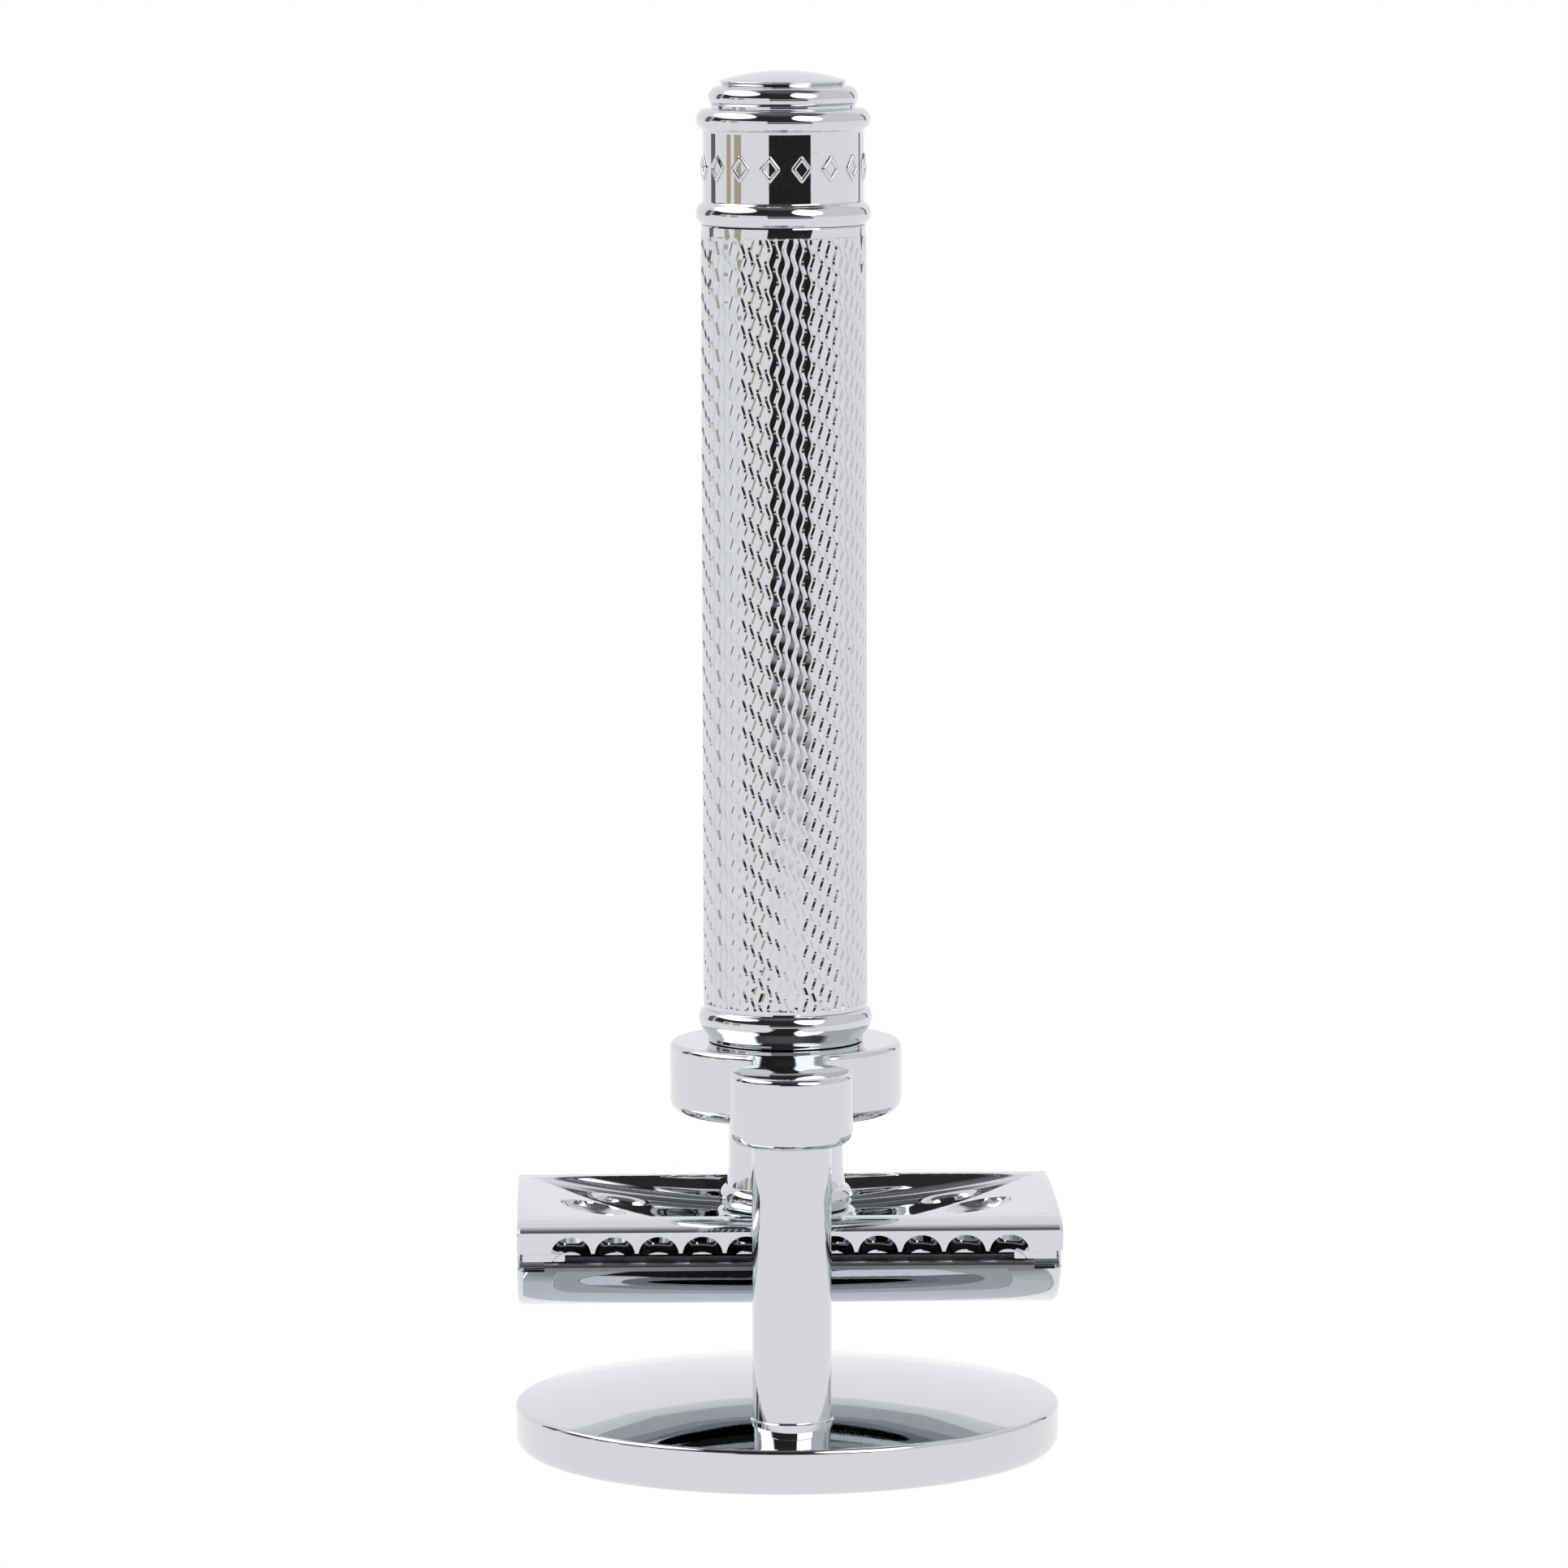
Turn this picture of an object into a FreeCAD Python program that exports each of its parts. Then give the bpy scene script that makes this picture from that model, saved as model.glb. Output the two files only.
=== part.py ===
"""Razor stand with its double-edge safety razor, as separate pieces.

Millimetres. +Z is up and z = 0 is the table. The stand's base is centred on the Z axis, its post
stands in front of it on the -Y side, and the razor hangs head down in the fork behind the post.
Heights are measured from the table. Every turned piece is drawn about its own axis, which its
Placement then puts on the post's axis or on the razor's.
"""

import FreeCAD, Part

import math
import os

import PartDesign
import Sketcher

DIMENSIONS = {
    # base
    "base_radius": 20.76,
    "base_foot": 0.25,
    "base_rim_top": 3.75,
    "base_dome_radius": 95.0,
    "base_bottom_round": 1.2,
    "base_top_round": 0.3,
    "pad_radius": 18.5,
    "pad_thickness": 1.1,
    "pad_gap": 0.1,
    # post, with the screws at its two ends
    "post_y": -14.2,
    "post_radius": 2.97,
    "post_seat": 4.3,
    "post_seat_gap": 0.03,
    "screw_radius": 2.0,
    "screw_hole_gap": 0.15,
    "screw_head_radius": 3.9,
    "screw_head_height": 1.9,
    "screw_end": 13.2,
    "screw_socket_radius": 1.25,
    "screw_socket_depth": 1.2,
    "screw_tip_chamfer": 0.5,
    "rod_chamfer": 0.4,
    "post_lower_hole_end": 14.6,
    "post_upper_hole_end": 17.6,
    "stud_start": 18.4,
    "stud_end": 29.6,
    "fork_hole_end": 30.0,
    # fork
    "fork_bottom": 25.8,
    "fork_top": 31.25,
    "fork_disc_radius": 8.84,
    "fork_slot_radius": 4.65,
    "fork_bridge_width": 5.5,
    "fork_boss_radius": 4.6,
    "fork_bottom_round": 1.1,
    "fork_top_round": 0.45,
    # razor axis, and the thread between cap and handle
    "razor_y": 2.0,
    "thread_radius": 2.5,
    "thread_gap": 0.05,
    "stud_root": 11.9,
    "stud_tip": 28.6,
    "stud_tip_chamfer": 0.6,
    # cap
    "head_length": 41.1,
    "cap_half_width": 10.3,
    "cap_crown": 11.14,
    "cap_edge": 15.2,
    "cap_edge_land": 0.25,
    "cap_outer_radius": 15.1,
    "cap_inner_half_width": 9.95,
    "cap_inner_radius": 21.15,
    "cap_end_round": 0.45,
    "pin_x": 14.4,
    "pin_radius": 1.4,
    "pin_root": 12.3,
    "pin_top": 16.8,
    "pin_gap": 0.08,
    # blade
    "blade_length": 40.9,
    "blade_thickness": 0.1,
    "blade_edge_slant": 0.087,
    "cut_reach": 25.0,
    "blade_crown": 12.98,
    "blade_bend_radius": 21.11,
    "blade_half_chord": 10.5,
    "blade_edge_rise": 2.798,
    "blade_shoulder_x": 18.5,
    "blade_tab_half_width": 5.6,
    "blade_slot_half_width": 1.0,
    "blade_slot_half_length": 17.6,
    "blade_hole_radius": 3.1,
    "blade_pin_hole_radius": 1.75,
    # guard
    "guard_half_width": 12.5,
    "guard_under_radius": 21.0,
    "guard_under_half_width": 9.0,
    "guard_under_edge": 15.156,
    "guard_gap_top": 16.3,
    "guard_gap_half_width": 9.6,
    "guard_bar_inner": 11.4,
    "guard_bar_inner_height": 16.75,
    "guard_bar_bottom": 16.9,
    "guard_bar_bottom_half_width": 12.3,
    "guard_bar_top": 18.5,
    "guard_bar_face_radius": 4.5,
    "guard_crest_half_width": 9.8,
    "guard_crest": 19.25,
    "guard_crest_radius": 4.2,
    "guard_crown": 19.58,
    "guard_crown_radius": 150.0,
    "guard_floor_bottom": 17.05,
    "guard_floor_radius": 83.0,
    "guard_floor_half_width": 8.1,
    "guard_floor_overrun": 1.0,
    "guard_boss_radius": 5.35,
    "guard_boss_top": 18.35,
    "guard_boss_root": 1.0,
    "guard_boss_round": 0.4,
    "guard_bore_gap": 0.1,
    "guard_drain_x": 12.7,
    "guard_drain_y": 5.95,
    "guard_drain_radius": 1.25,
    "guard_drain_length": 4.0,
    "guard_lug_inner_x": 16.95,
    "guard_lug_outer_x": 20.15,
    "guard_lug_inner_y": 8.8,
    "guard_lug_outer_y": 10.6,
    "guard_lug_bottom": 15.98,
    "guard_lug_top": 16.9,
    "scallop_count": 11,
    "scallop_pitch": 3.3,
    "scallop_radius": 1.5,
    "scallop_height": 16.75,
    "scallop_slope": 35.0,
    "scallop_length": 4.0,
    # neck
    "neck_bottom": 18.4,
    "neck_bottom_radius": 4.7,
    "neck_bead_radius": 1.05,
    "neck_bead_top": 20.15,
    "neck_bead_top_radius": 4.55,
    "neck_cove_radius": 12.5,
    "neck_waist_start": 22.7,
    "neck_waist_radius": 4.36,
    "shoulder_height": 31.3,
    "shoulder_radius": 5.92,
    "shoulder_land_top": 31.66,
    "ring_bottom": 32.35,
    "ring_bottom_radius": 6.4,
    "ring_bulge_radius": 1.24,
    "ring_top": 33.67,
    "ring_top_radius": 6.46,
    "bush_radius": 3.2,
    "bush_end": 29.6,
    "bush_hole_end": 30.0,
    "spigot_radius": 5.2,
    "neck_spigot_top": 41.9,
    "neck_rod_hole_bottom": 34.2,
    # tube and rod
    "tube_radius": 6.25,
    "tube_bore_radius": 5.25,
    "tube_bottom": 33.9,
    "tube_top": 93.5,
    "rod_radius": 2.0,
    "rod_bottom": 34.8,
    "rod_top": 97.6,
    # end cap
    "end_spigot_bottom": 85.5,
    "end_rod_hole_top": 98.2,
    "end_lower_ring_radius": 6.3,
    "end_lower_ring_bulge": 1.07,
    "end_lower_ring_top": 95.2,
    "end_lower_ring_top_radius": 6.15,
    "band_radius": 6.11,
    "band_bottom": 95.3,
    "band_top": 100.5,
    "end_upper_ring_bottom": 100.65,
    "end_upper_ring_bulge": 0.886,
    "end_upper_ring_top": 102.3,
    "end_upper_ring_top_radius": 5.6,
    "end_step_radius": 5.47,
    "end_step_top": 102.55,
    "end_small_ring_bulge": 0.869,
    "end_small_ring_top": 103.95,
    "end_small_ring_top_radius": 4.65,
    "button_edge": 104.35,
    "button_radius": 4.81,
    "button_dome_radius": 15.6,
}

doc = FreeCAD.newDocument("razor_stand")
dims = doc.addObject("Spreadsheet::Sheet", "dims")
for row, (alias, number) in enumerate(DIMENSIONS.items(), start=1):
    dims.set(f"A{row}", alias)
    dims.set(f"B{row}", str(number))
    dims.setAlias(f"B{row}", alias)
doc.recompute()

PARTS = []


def size(expression):
    """The number that an expression of the sheet's aliases stands for."""
    return float(dims.evalExpression(str(expression)))


def cells(expression):
    """The same expression as another object of the document writes it."""
    for alias in sorted(DIMENSIONS, key=len, reverse=True):
        expression = expression.replace(alias, f"@{list(DIMENSIONS).index(alias)}@")
    for index, alias in enumerate(DIMENSIONS):
        expression = expression.replace(f"@{index}@", f"dims.{alias}")
    return expression


def bind(thing, path, expression):
    thing.setExpression(path, cells(str(expression)))


def new_body(name, axis_y=None):
    """A body whose own Z axis stands at axis_y."""
    body = doc.addObject("PartDesign::Body", name)
    body.Label = name
    if axis_y:
        bind(body, "Placement.Base.y", axis_y)
    PARTS.append(body)
    return body


def origin_feature(body, role):
    return next(f for f in body.Origin.OriginFeatures if f.Role == role)


def arc_between(start, end, radius, side):
    """The arc of that radius from start to end, turning left or right, short unless side says long."""
    middle = (start + end) * 0.5
    half = (end - start) * 0.5
    reach = math.sqrt(max(radius**2 - half.Length**2, 0.0))
    normal = FreeCAD.Vector(-half.y, half.x, 0).normalize()
    left = side.startswith("left")
    if left == side.endswith("long"):
        reach = -reach
    centre = middle + normal * reach
    first, last = (start, end) if left else (end, start)
    angles = [math.atan2(p.y - centre.y, p.x - centre.x) for p in (first, last)]
    if angles[1] <= angles[0]:
        angles[1] += 2 * math.pi
    circle = Part.Circle(centre, FreeCAD.Vector(0, 0, 1), radius)
    return Part.ArcOfCircle(circle, angles[0], angles[1]), (1, 2) if left else (2, 1)


def hold(sketch, geometry, point, kind, expression):
    """Holds one coordinate of a point of the sketch at an expression of the sheet."""
    value = size(expression)
    if abs(value) < 1e-9:
        axis = -2 if kind == "DistanceX" else -1
        sketch.addConstraint(Sketcher.Constraint("PointOnObject", geometry, point, axis))
        return
    index = sketch.addConstraint(Sketcher.Constraint(kind, geometry, point, value))
    bind(sketch, f"Constraints[{index}]", expression)


def pin_point(sketch, geometry, point, across, up):
    hold(sketch, geometry, point, "DistanceX", across)
    hold(sketch, geometry, point, "DistanceY", up)


def hold_arc(sketch, geometry, start, end, corner):
    """Fixes an arc whose ends are held: by its radius, or by its centre if it is a half circle."""
    chord = end - start
    if abs(chord.Length - 2 * size(corner[2])) > 1e-6:
        index = sketch.addConstraint(Sketcher.Constraint("Radius", geometry, size(corner[2])))
        bind(sketch, f"Constraints[{index}]", corner[2])
    elif abs(chord.x) > abs(chord.y):
        hold(sketch, geometry, 3, "DistanceY", corner[1])
    else:
        hold(sketch, geometry, 3, "DistanceX", corner[0])


def new_sketch(body, name, role, height=None):
    sketch = body.newObject("Sketcher::SketchObject", name)
    sketch.AttachmentSupport = [(origin_feature(body, role), "")]
    sketch.MapMode = "FlatFace"
    if height:
        bind(sketch, "AttachmentOffset.Base.z", height)
    return sketch


def outline(body, name, role, corners, height=None):
    """A closed outline of straight lines and arcs.

    A corner is (across, up), or (across, up, radius, side) where an arc leads on to the next one.
    """
    sketch = new_sketch(body, name, role, height)
    places = [FreeCAD.Vector(size(c[0]), size(c[1]), 0) for c in corners]
    ends = []
    for index, corner in enumerate(corners):
        start = places[index]
        end = places[(index + 1) % len(corners)]
        if len(corner) == 2:
            sketch.addGeometry(Part.LineSegment(start, end), False)
            ends.append((1, 2))
            continue
        arc, order = arc_between(start, end, size(corner[2]), corner[3])
        sketch.addGeometry(arc, False)
        ends.append(order)
    for index in range(len(corners)):
        following = (index + 1) % len(corners)
        joint = ("Coincident", index, ends[index][1], following, ends[following][0])
        sketch.addConstraint(Sketcher.Constraint(*joint))
    for index, corner in enumerate(corners):
        pin_point(sketch, index, ends[index][0], corner[0], corner[1])
        if len(corner) > 2:
            hold_arc(sketch, index, places[index], places[(index + 1) % len(corners)], corner)
    return sketch


def circles(body, name, height, rounds):
    """Full circles on a level plane: each is (x, y, radius)."""
    sketch = new_sketch(body, name, "XY_Plane", height)
    for index, (x, y, radius) in enumerate(rounds):
        centre = FreeCAD.Vector(size(x), size(y), 0)
        circle = Part.Circle(centre, FreeCAD.Vector(0, 0, 1), size(radius))
        sketch.addGeometry(circle, False)
        pin_point(sketch, index, 3, x, y)
        held = sketch.addConstraint(Sketcher.Constraint("Radius", index, size(radius)))
        bind(sketch, f"Constraints[{held}]", radius)
    return sketch


def turned(body, name, corners):
    """A turned shape from half its section, about the body's Z axis."""
    sketch = outline(body, f"{name}_section", "XZ_Plane", corners)
    feature = body.newObject("PartDesign::Revolution", name)
    feature.Profile = sketch
    feature.ReferenceAxis = (sketch, ["V_Axis"])
    feature.Angle = 360.0
    doc.recompute()
    return feature


def padded(body, name, sketch, length, symmetric=False):
    feature = body.newObject("PartDesign::Pad", name)
    feature.Profile = sketch
    feature.SideType = "Symmetric" if symmetric else "One side"
    bind(feature, "Length", length)
    doc.recompute()
    return feature


def pocketed(body, name, sketch, length, upward=False, symmetric=False):
    """A pocket below its sketch, or above it if upward. It has to remove something."""
    before = body.Shape.Volume
    feature = body.newObject("PartDesign::Pocket", name)
    feature.Profile = sketch
    feature.SideType = "Symmetric" if symmetric else "One side"
    feature.Reversed = upward
    bind(feature, "Length", length)
    doc.recompute()
    if body.Shape.Volume > before - 1e-6:
        raise RuntimeError(f"{name} removes nothing from {body.Label}")
    return feature


def rounded(body, name, radius, wanted):
    """Rounds the edges of the body's last feature that the wanted test picks."""
    base = body.Tip
    edges = [f"Edge{i}" for i, e in enumerate(base.Shape.Edges, start=1) if wanted(e)]
    if not edges:
        raise RuntimeError(f"{name} finds no edge on {body.Label}")
    feature = body.newObject("PartDesign::Fillet", name)
    feature.Base = (base, edges)
    bind(feature, "Radius", radius)
    doc.recompute()
    return feature


def level_edge(height, least_radius=0.0):
    """Picks edges that lie flat at a height, away from the Z axis by at least a radius."""

    def wanted(edge):
        box = edge.BoundBox
        flat = abs(box.ZMin - height) < 1e-3 and abs(box.ZMax - height) < 1e-3
        far = max(math.hypot(v.X, v.Y) for v in edge.Vertexes) > least_radius
        return flat and far

    return wanted


def make_base():
    """A turned disc with a low dome, a recess below for the pad and a flat seat for the post."""
    base = new_body("base")
    corners = [
        ("0", "pad_thickness"),
        ("pad_radius + pad_gap", "pad_thickness"),
        ("pad_radius + pad_gap", "base_foot"),
        ("base_radius", "base_foot"),
        ("base_radius", "base_rim_top", "base_dome_radius", "left"),
        (
            "0",
            "base_rim_top + base_dome_radius - sqrt(base_dome_radius ^ 2 - base_radius ^ 2)",
        ),
    ]
    turned(base, "base_disc", corners)
    rounded(base, "base_bottom_edge", "base_bottom_round", level_edge(size("base_foot"), 20.0))
    rounded(base, "base_top_edge", "base_top_round", level_edge(size("base_rim_top"), 20.0))
    seat = circles(
        base, "post_seat_circle", "post_seat", [("0", "post_y", "post_radius + post_seat_gap")]
    )
    pocketed(base, "post_seat", seat, "base_dome_radius", upward=True)
    hole = circles(
        base, "screw_circle", "post_seat", [("0", "post_y", "screw_radius + screw_hole_gap")]
    )
    pocketed(base, "screw_hole", hole, "post_seat")
    sink = base.newObject("PartDesign::SubtractiveCone", "screw_sink")
    bind(sink, "Radius1", "screw_head_radius + screw_hole_gap")
    bind(sink, "Radius2", "screw_radius + screw_hole_gap")
    bind(sink, "Height", "screw_head_height")
    bind(sink, "Placement.Base.y", "post_y")
    bind(sink, "Placement.Base.z", "pad_thickness")
    doc.recompute()


def make_base_pad():
    pad = new_body("base_pad")
    corners = [
        ("0", "0"),
        ("pad_radius", "0"),
        ("pad_radius", "pad_thickness"),
        ("0", "pad_thickness"),
    ]
    turned(pad, "pad_disc", corners)
    rounded(pad, "pad_edge", "base_top_round", level_edge(0.0, 18.0))


def make_base_screw():
    """A countersunk screw, from below the base up into the post."""
    screw = new_body("base_screw", "post_y")
    corners = [
        ("0", "pad_thickness"),
        ("screw_head_radius", "pad_thickness"),
        ("screw_radius", "pad_thickness + screw_head_height"),
        ("screw_radius", "screw_end - screw_tip_chamfer"),
        ("screw_radius - screw_tip_chamfer", "screw_end"),
        ("0", "screw_end"),
    ]
    turned(screw, "screw_turning", corners)
    socket = circles(screw, "screw_socket_circle", "pad_thickness", [("0", "0", "screw_socket_radius")])
    pocketed(screw, "screw_socket", socket, "screw_socket_depth", upward=True)


def make_post():
    """A plain turned post with a tapped hole in each end."""
    post = new_body("post", "post_y")
    corners = [
        ("screw_radius", "post_seat"),
        ("post_radius", "post_seat"),
        ("post_radius", "fork_bottom"),
        ("screw_radius", "fork_bottom"),
        ("screw_radius", "post_upper_hole_end"),
        ("0", "post_upper_hole_end"),
        ("0", "post_lower_hole_end"),
        ("screw_radius", "post_lower_hole_end"),
    ]
    turned(post, "post_turning", corners)


def make_fork_stud():
    """The headless stud that holds the fork on the post."""
    stud = new_body("fork_stud", "post_y")
    corners = [
        ("0", "stud_start"),
        ("screw_radius - rod_chamfer", "stud_start"),
        ("screw_radius", "stud_start + rod_chamfer"),
        ("screw_radius", "stud_end - rod_chamfer"),
        ("screw_radius - rod_chamfer", "stud_end"),
        ("0", "stud_end"),
    ]
    turned(stud, "fork_stud_turning", corners)


def make_fork():
    """A plate with a round lobe and an open slot, a narrow bridge, and a boss over the post."""
    fork = new_body("fork")
    tip_y = "razor_y + sqrt(fork_disc_radius ^ 2 - fork_slot_radius ^ 2)"
    half_bridge = "fork_bridge_width / 2"
    disc_y = "razor_y - sqrt(fork_disc_radius ^ 2 - (fork_bridge_width / 2) ^ 2)"
    boss_y = "post_y + sqrt(fork_boss_radius ^ 2 - (fork_bridge_width / 2) ^ 2)"
    corners = [
        ("fork_slot_radius", tip_y, "fork_disc_radius", "right"),
        (half_bridge, disc_y),
        (half_bridge, boss_y, "fork_boss_radius", "right long"),
        (f"-{half_bridge}", boss_y),
        (f"-{half_bridge}", disc_y, "fork_disc_radius", "right"),
        ("-fork_slot_radius", tip_y),
        ("-fork_slot_radius", "razor_y", "fork_slot_radius", "left"),
        ("fork_slot_radius", "razor_y"),
    ]
    plate = outline(fork, "fork_outline", "XY_Plane", corners, "fork_bottom")
    padded(fork, "fork_plate", plate, "fork_top - fork_bottom")
    rounded(fork, "fork_bottom_edge", "fork_bottom_round", level_edge(size("fork_bottom")))
    rounded(fork, "fork_top_edge", "fork_top_round", level_edge(size("fork_top")))
    hole = circles(fork, "fork_hole_circle", "fork_bottom", [("0", "post_y", "screw_radius")])
    pocketed(fork, "fork_hole", hole, "fork_hole_end - fork_bottom", upward=True)


def make_cap():
    """The razor's top plate, which faces down in the stand: a bowed plate, thin at its edges."""
    cap = new_body("cap", "razor_y")
    land = "cap_edge + cap_edge_land"
    corners = [
        ("-cap_half_width", "cap_edge", "cap_outer_radius", "left"),
        ("cap_half_width", "cap_edge"),
        ("cap_inner_half_width", land, "cap_inner_radius", "right"),
        ("-cap_inner_half_width", land),
    ]
    plate = outline(cap, "cap_section", "YZ_Plane", corners)
    padded(cap, "cap_plate", plate, "head_length", symmetric=True)
    end_x = size("head_length") / 2

    def outer_end(edge):
        box = edge.BoundBox
        at_end = min(abs(box.XMin - end_x), abs(box.XMin + end_x)) < 1e-3
        return at_end and box.XLength < 1e-3 and box.ZMin < size("cap_crown") + 0.1

    rounded(cap, "cap_end_edges", "cap_end_round", outer_end)
    stud_hole = circles(cap, "cap_stud_circle", "stud_root", [("0", "0", "thread_radius")])
    pocketed(cap, "cap_stud_hole", stud_hole, "cap_edge", upward=True)
    pin_holes = circles(
        cap,
        "cap_pin_circles",
        "pin_root",
        [("pin_x", "0", "pin_radius"), ("-pin_x", "0", "pin_radius")],
    )
    pocketed(cap, "cap_pin_holes", pin_holes, "cap_edge", upward=True)


def make_cap_stud():
    """The threaded stud that stands in the cap and takes the handle."""
    stud = new_body("cap_stud", "razor_y")
    corners = [
        ("0", "stud_root"),
        ("thread_radius", "stud_root"),
        ("thread_radius", "stud_tip - stud_tip_chamfer"),
        ("thread_radius - stud_tip_chamfer", "stud_tip"),
        ("0", "stud_tip"),
    ]
    turned(stud, "cap_stud_turning", corners)


def make_locating_pins():
    """Two pins in the cap, which the blade and the guard slide on."""
    pin = doc.addObject("Part::Cylinder", "left_pin")
    bind(pin, "Radius", "pin_radius")
    bind(pin, "Height", "pin_top - pin_root")
    bind(pin, "Placement.Base.x", "-pin_x")
    bind(pin, "Placement.Base.y", "razor_y")
    bind(pin, "Placement.Base.z", "pin_root")
    twin = doc.addObject("Part::Mirroring", "right_pin")
    twin.Source = pin
    twin.Normal = (1, 0, 0)
    pair = doc.addObject("Part::Compound", "locating_pins")
    pair.Links = [pin, twin]
    pair.Label = "locating_pins"
    PARTS.append(pair)
    doc.recompute()


def make_blade():
    """A slotted double-edge blade, bowed as the closed head holds it, that ends inside the head."""
    blade = new_body("blade", "razor_y")
    low = "blade_crown + blade_edge_rise"
    corners = [
        ("-blade_half_chord", low, "blade_bend_radius", "left"),
        ("blade_half_chord", low),
        (
            "blade_half_chord - blade_thickness / 2",
            f"{low} + blade_edge_slant",
            "blade_bend_radius - blade_thickness",
            "right",
        ),
        ("-blade_half_chord + blade_thickness / 2", f"{low} + blade_edge_slant"),
    ]
    strip = outline(blade, "blade_section", "YZ_Plane", corners)
    padded(blade, "blade_strip", strip, "blade_length", symmetric=True)
    slot = outline(
        blade,
        "blade_slot_outline",
        "XY_Plane",
        [
            ("-blade_slot_half_length", "-blade_slot_half_width"),
            ("blade_slot_half_length", "-blade_slot_half_width"),
            ("blade_slot_half_length", "blade_slot_half_width"),
            ("-blade_slot_half_length", "blade_slot_half_width"),
        ],
    )
    pocketed(blade, "blade_slot", slot, "cut_reach", upward=True)
    holes = (
        ("0", "blade_hole_radius"),
        ("pin_x", "blade_pin_hole_radius"),
        ("-pin_x", "blade_pin_hole_radius"),
    )
    for index, (x, radius) in enumerate(holes):
        hole = circles(blade, f"blade_hole_circle_{index}", None, [(x, "0", radius)])
        pocketed(blade, f"blade_hole_{index}", hole, "cut_reach", upward=True)
    for index, (side_x, side_y) in enumerate(((1, 1), (1, -1), (-1, 1), (-1, -1))):
        near_x = f"{side_x} * blade_shoulder_x"
        far_x = f"{side_x} * blade_length"
        near_y = f"{side_y} * blade_tab_half_width"
        far_y = f"{side_y} * blade_length"
        corners = [(near_x, near_y), (far_x, near_y), (far_x, far_y), (near_x, far_y)]
        notch = outline(blade, f"blade_corner_outline_{index}", "XY_Plane", corners)
        pocketed(blade, f"blade_corner_{index}", notch, "cut_reach", upward=True)


def make_guard():
    """The razor's lower plate: two scalloped bars joined by a saddle-shaped floor with a boss."""
    guard = new_body("guard", "razor_y")
    half = [
        ("guard_under_half_width", "guard_under_edge"),
        ("guard_gap_half_width", "guard_gap_top"),
        ("guard_bar_inner", "guard_bar_inner_height"),
        ("guard_bar_bottom_half_width", "guard_bar_bottom", "guard_bar_face_radius", "left"),
        ("guard_half_width", "guard_bar_top", "guard_crest_radius", "left"),
        ("guard_crest_half_width", "guard_crest", "guard_crown_radius", "left"),
    ]
    crest = ("-guard_crest_half_width", "guard_crest", "guard_crest_radius", "left")
    corners = half + [
        crest,
        ("-guard_half_width", "guard_bar_top", "guard_bar_face_radius", "left"),
        ("-guard_bar_bottom_half_width", "guard_bar_bottom"),
        ("-guard_bar_inner", "guard_bar_inner_height"),
        ("-guard_gap_half_width", "guard_gap_top"),
        ("-guard_under_half_width", "guard_under_edge", "guard_under_radius", "left"),
    ]
    plate = outline(guard, "guard_section", "YZ_Plane", corners)
    padded(guard, "guard_plate", plate, "head_length", symmetric=True)

    end_height = (
        "guard_floor_bottom + guard_floor_radius"
        " - sqrt(guard_floor_radius ^ 2 - (head_length / 2 + guard_floor_overrun) ^ 2)"
    )
    floor = outline(
        guard,
        "guard_floor_section",
        "XZ_Plane",
        [
            ("-head_length / 2 - guard_floor_overrun", end_height, "guard_floor_radius", "left"),
            ("head_length / 2 + guard_floor_overrun", end_height),
            ("head_length / 2 + guard_floor_overrun", "cut_reach"),
            ("-head_length / 2 - guard_floor_overrun", "cut_reach"),
        ],
    )
    pocketed(guard, "guard_floor", floor, "2 * guard_floor_half_width", symmetric=True)

    boss_foot = "guard_floor_bottom - guard_boss_root"
    boss = circles(guard, "guard_boss_circle", boss_foot, [("0", "0", "guard_boss_radius")])
    padded(guard, "guard_boss", boss, f"guard_boss_top - ({boss_foot})")
    rounded(
        guard,
        "guard_boss_edge",
        "guard_boss_round",
        level_edge(size("guard_boss_top")),
    )

    for index, (side_x, side_y) in enumerate(((1, 1), (1, -1), (-1, 1), (-1, -1))):
        near_x = f"{side_x} * guard_lug_inner_x"
        far_x = f"{side_x} * guard_lug_outer_x"
        near_y = f"{side_y} * guard_lug_inner_y"
        far_y = f"{side_y} * guard_lug_outer_y"
        corners = [(near_x, near_y), (far_x, near_y), (far_x, far_y), (near_x, far_y)]
        lug = outline(guard, f"guard_lug_outline_{index}", "XY_Plane", corners, "guard_lug_bottom")
        padded(guard, f"guard_lug_{index}", lug, "guard_lug_top - guard_lug_bottom")

    bore = circles(guard, "guard_bore_circle", None, [("0", "0", "thread_radius + guard_bore_gap")])
    pocketed(guard, "guard_bore", bore, "cut_reach", upward=True)
    pin_radius = "pin_radius + pin_gap"
    places = [("pin_x", "0", pin_radius), ("-pin_x", "0", pin_radius)]
    pins = circles(guard, "guard_pin_circles", None, places)
    pocketed(guard, "guard_pin_holes", pins, "cut_reach", upward=True)

    reach = "guard_drain_length / 2 - guard_drain_radius"
    for index, (side_x, side_y) in enumerate(((1, 1), (1, -1), (-1, 1), (-1, -1))):
        middle_x = f"{side_x} * guard_drain_x"
        middle_y = f"{side_y} * guard_drain_y"
        left_x = f"{middle_x} - ({reach})"
        right_x = f"{middle_x} + ({reach})"
        low_y = f"{middle_y} - guard_drain_radius"
        high_y = f"{middle_y} + guard_drain_radius"
        corners = [
            (left_x, low_y),
            (right_x, low_y, "guard_drain_radius", "left"),
            (right_x, high_y),
            (left_x, high_y, "guard_drain_radius", "left"),
        ]
        drain = outline(guard, f"guard_drain_outline_{index}", "XY_Plane", corners)
        pocketed(guard, f"guard_drain_{index}", drain, "cut_reach", upward=True)
    make_scallops(guard)


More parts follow.
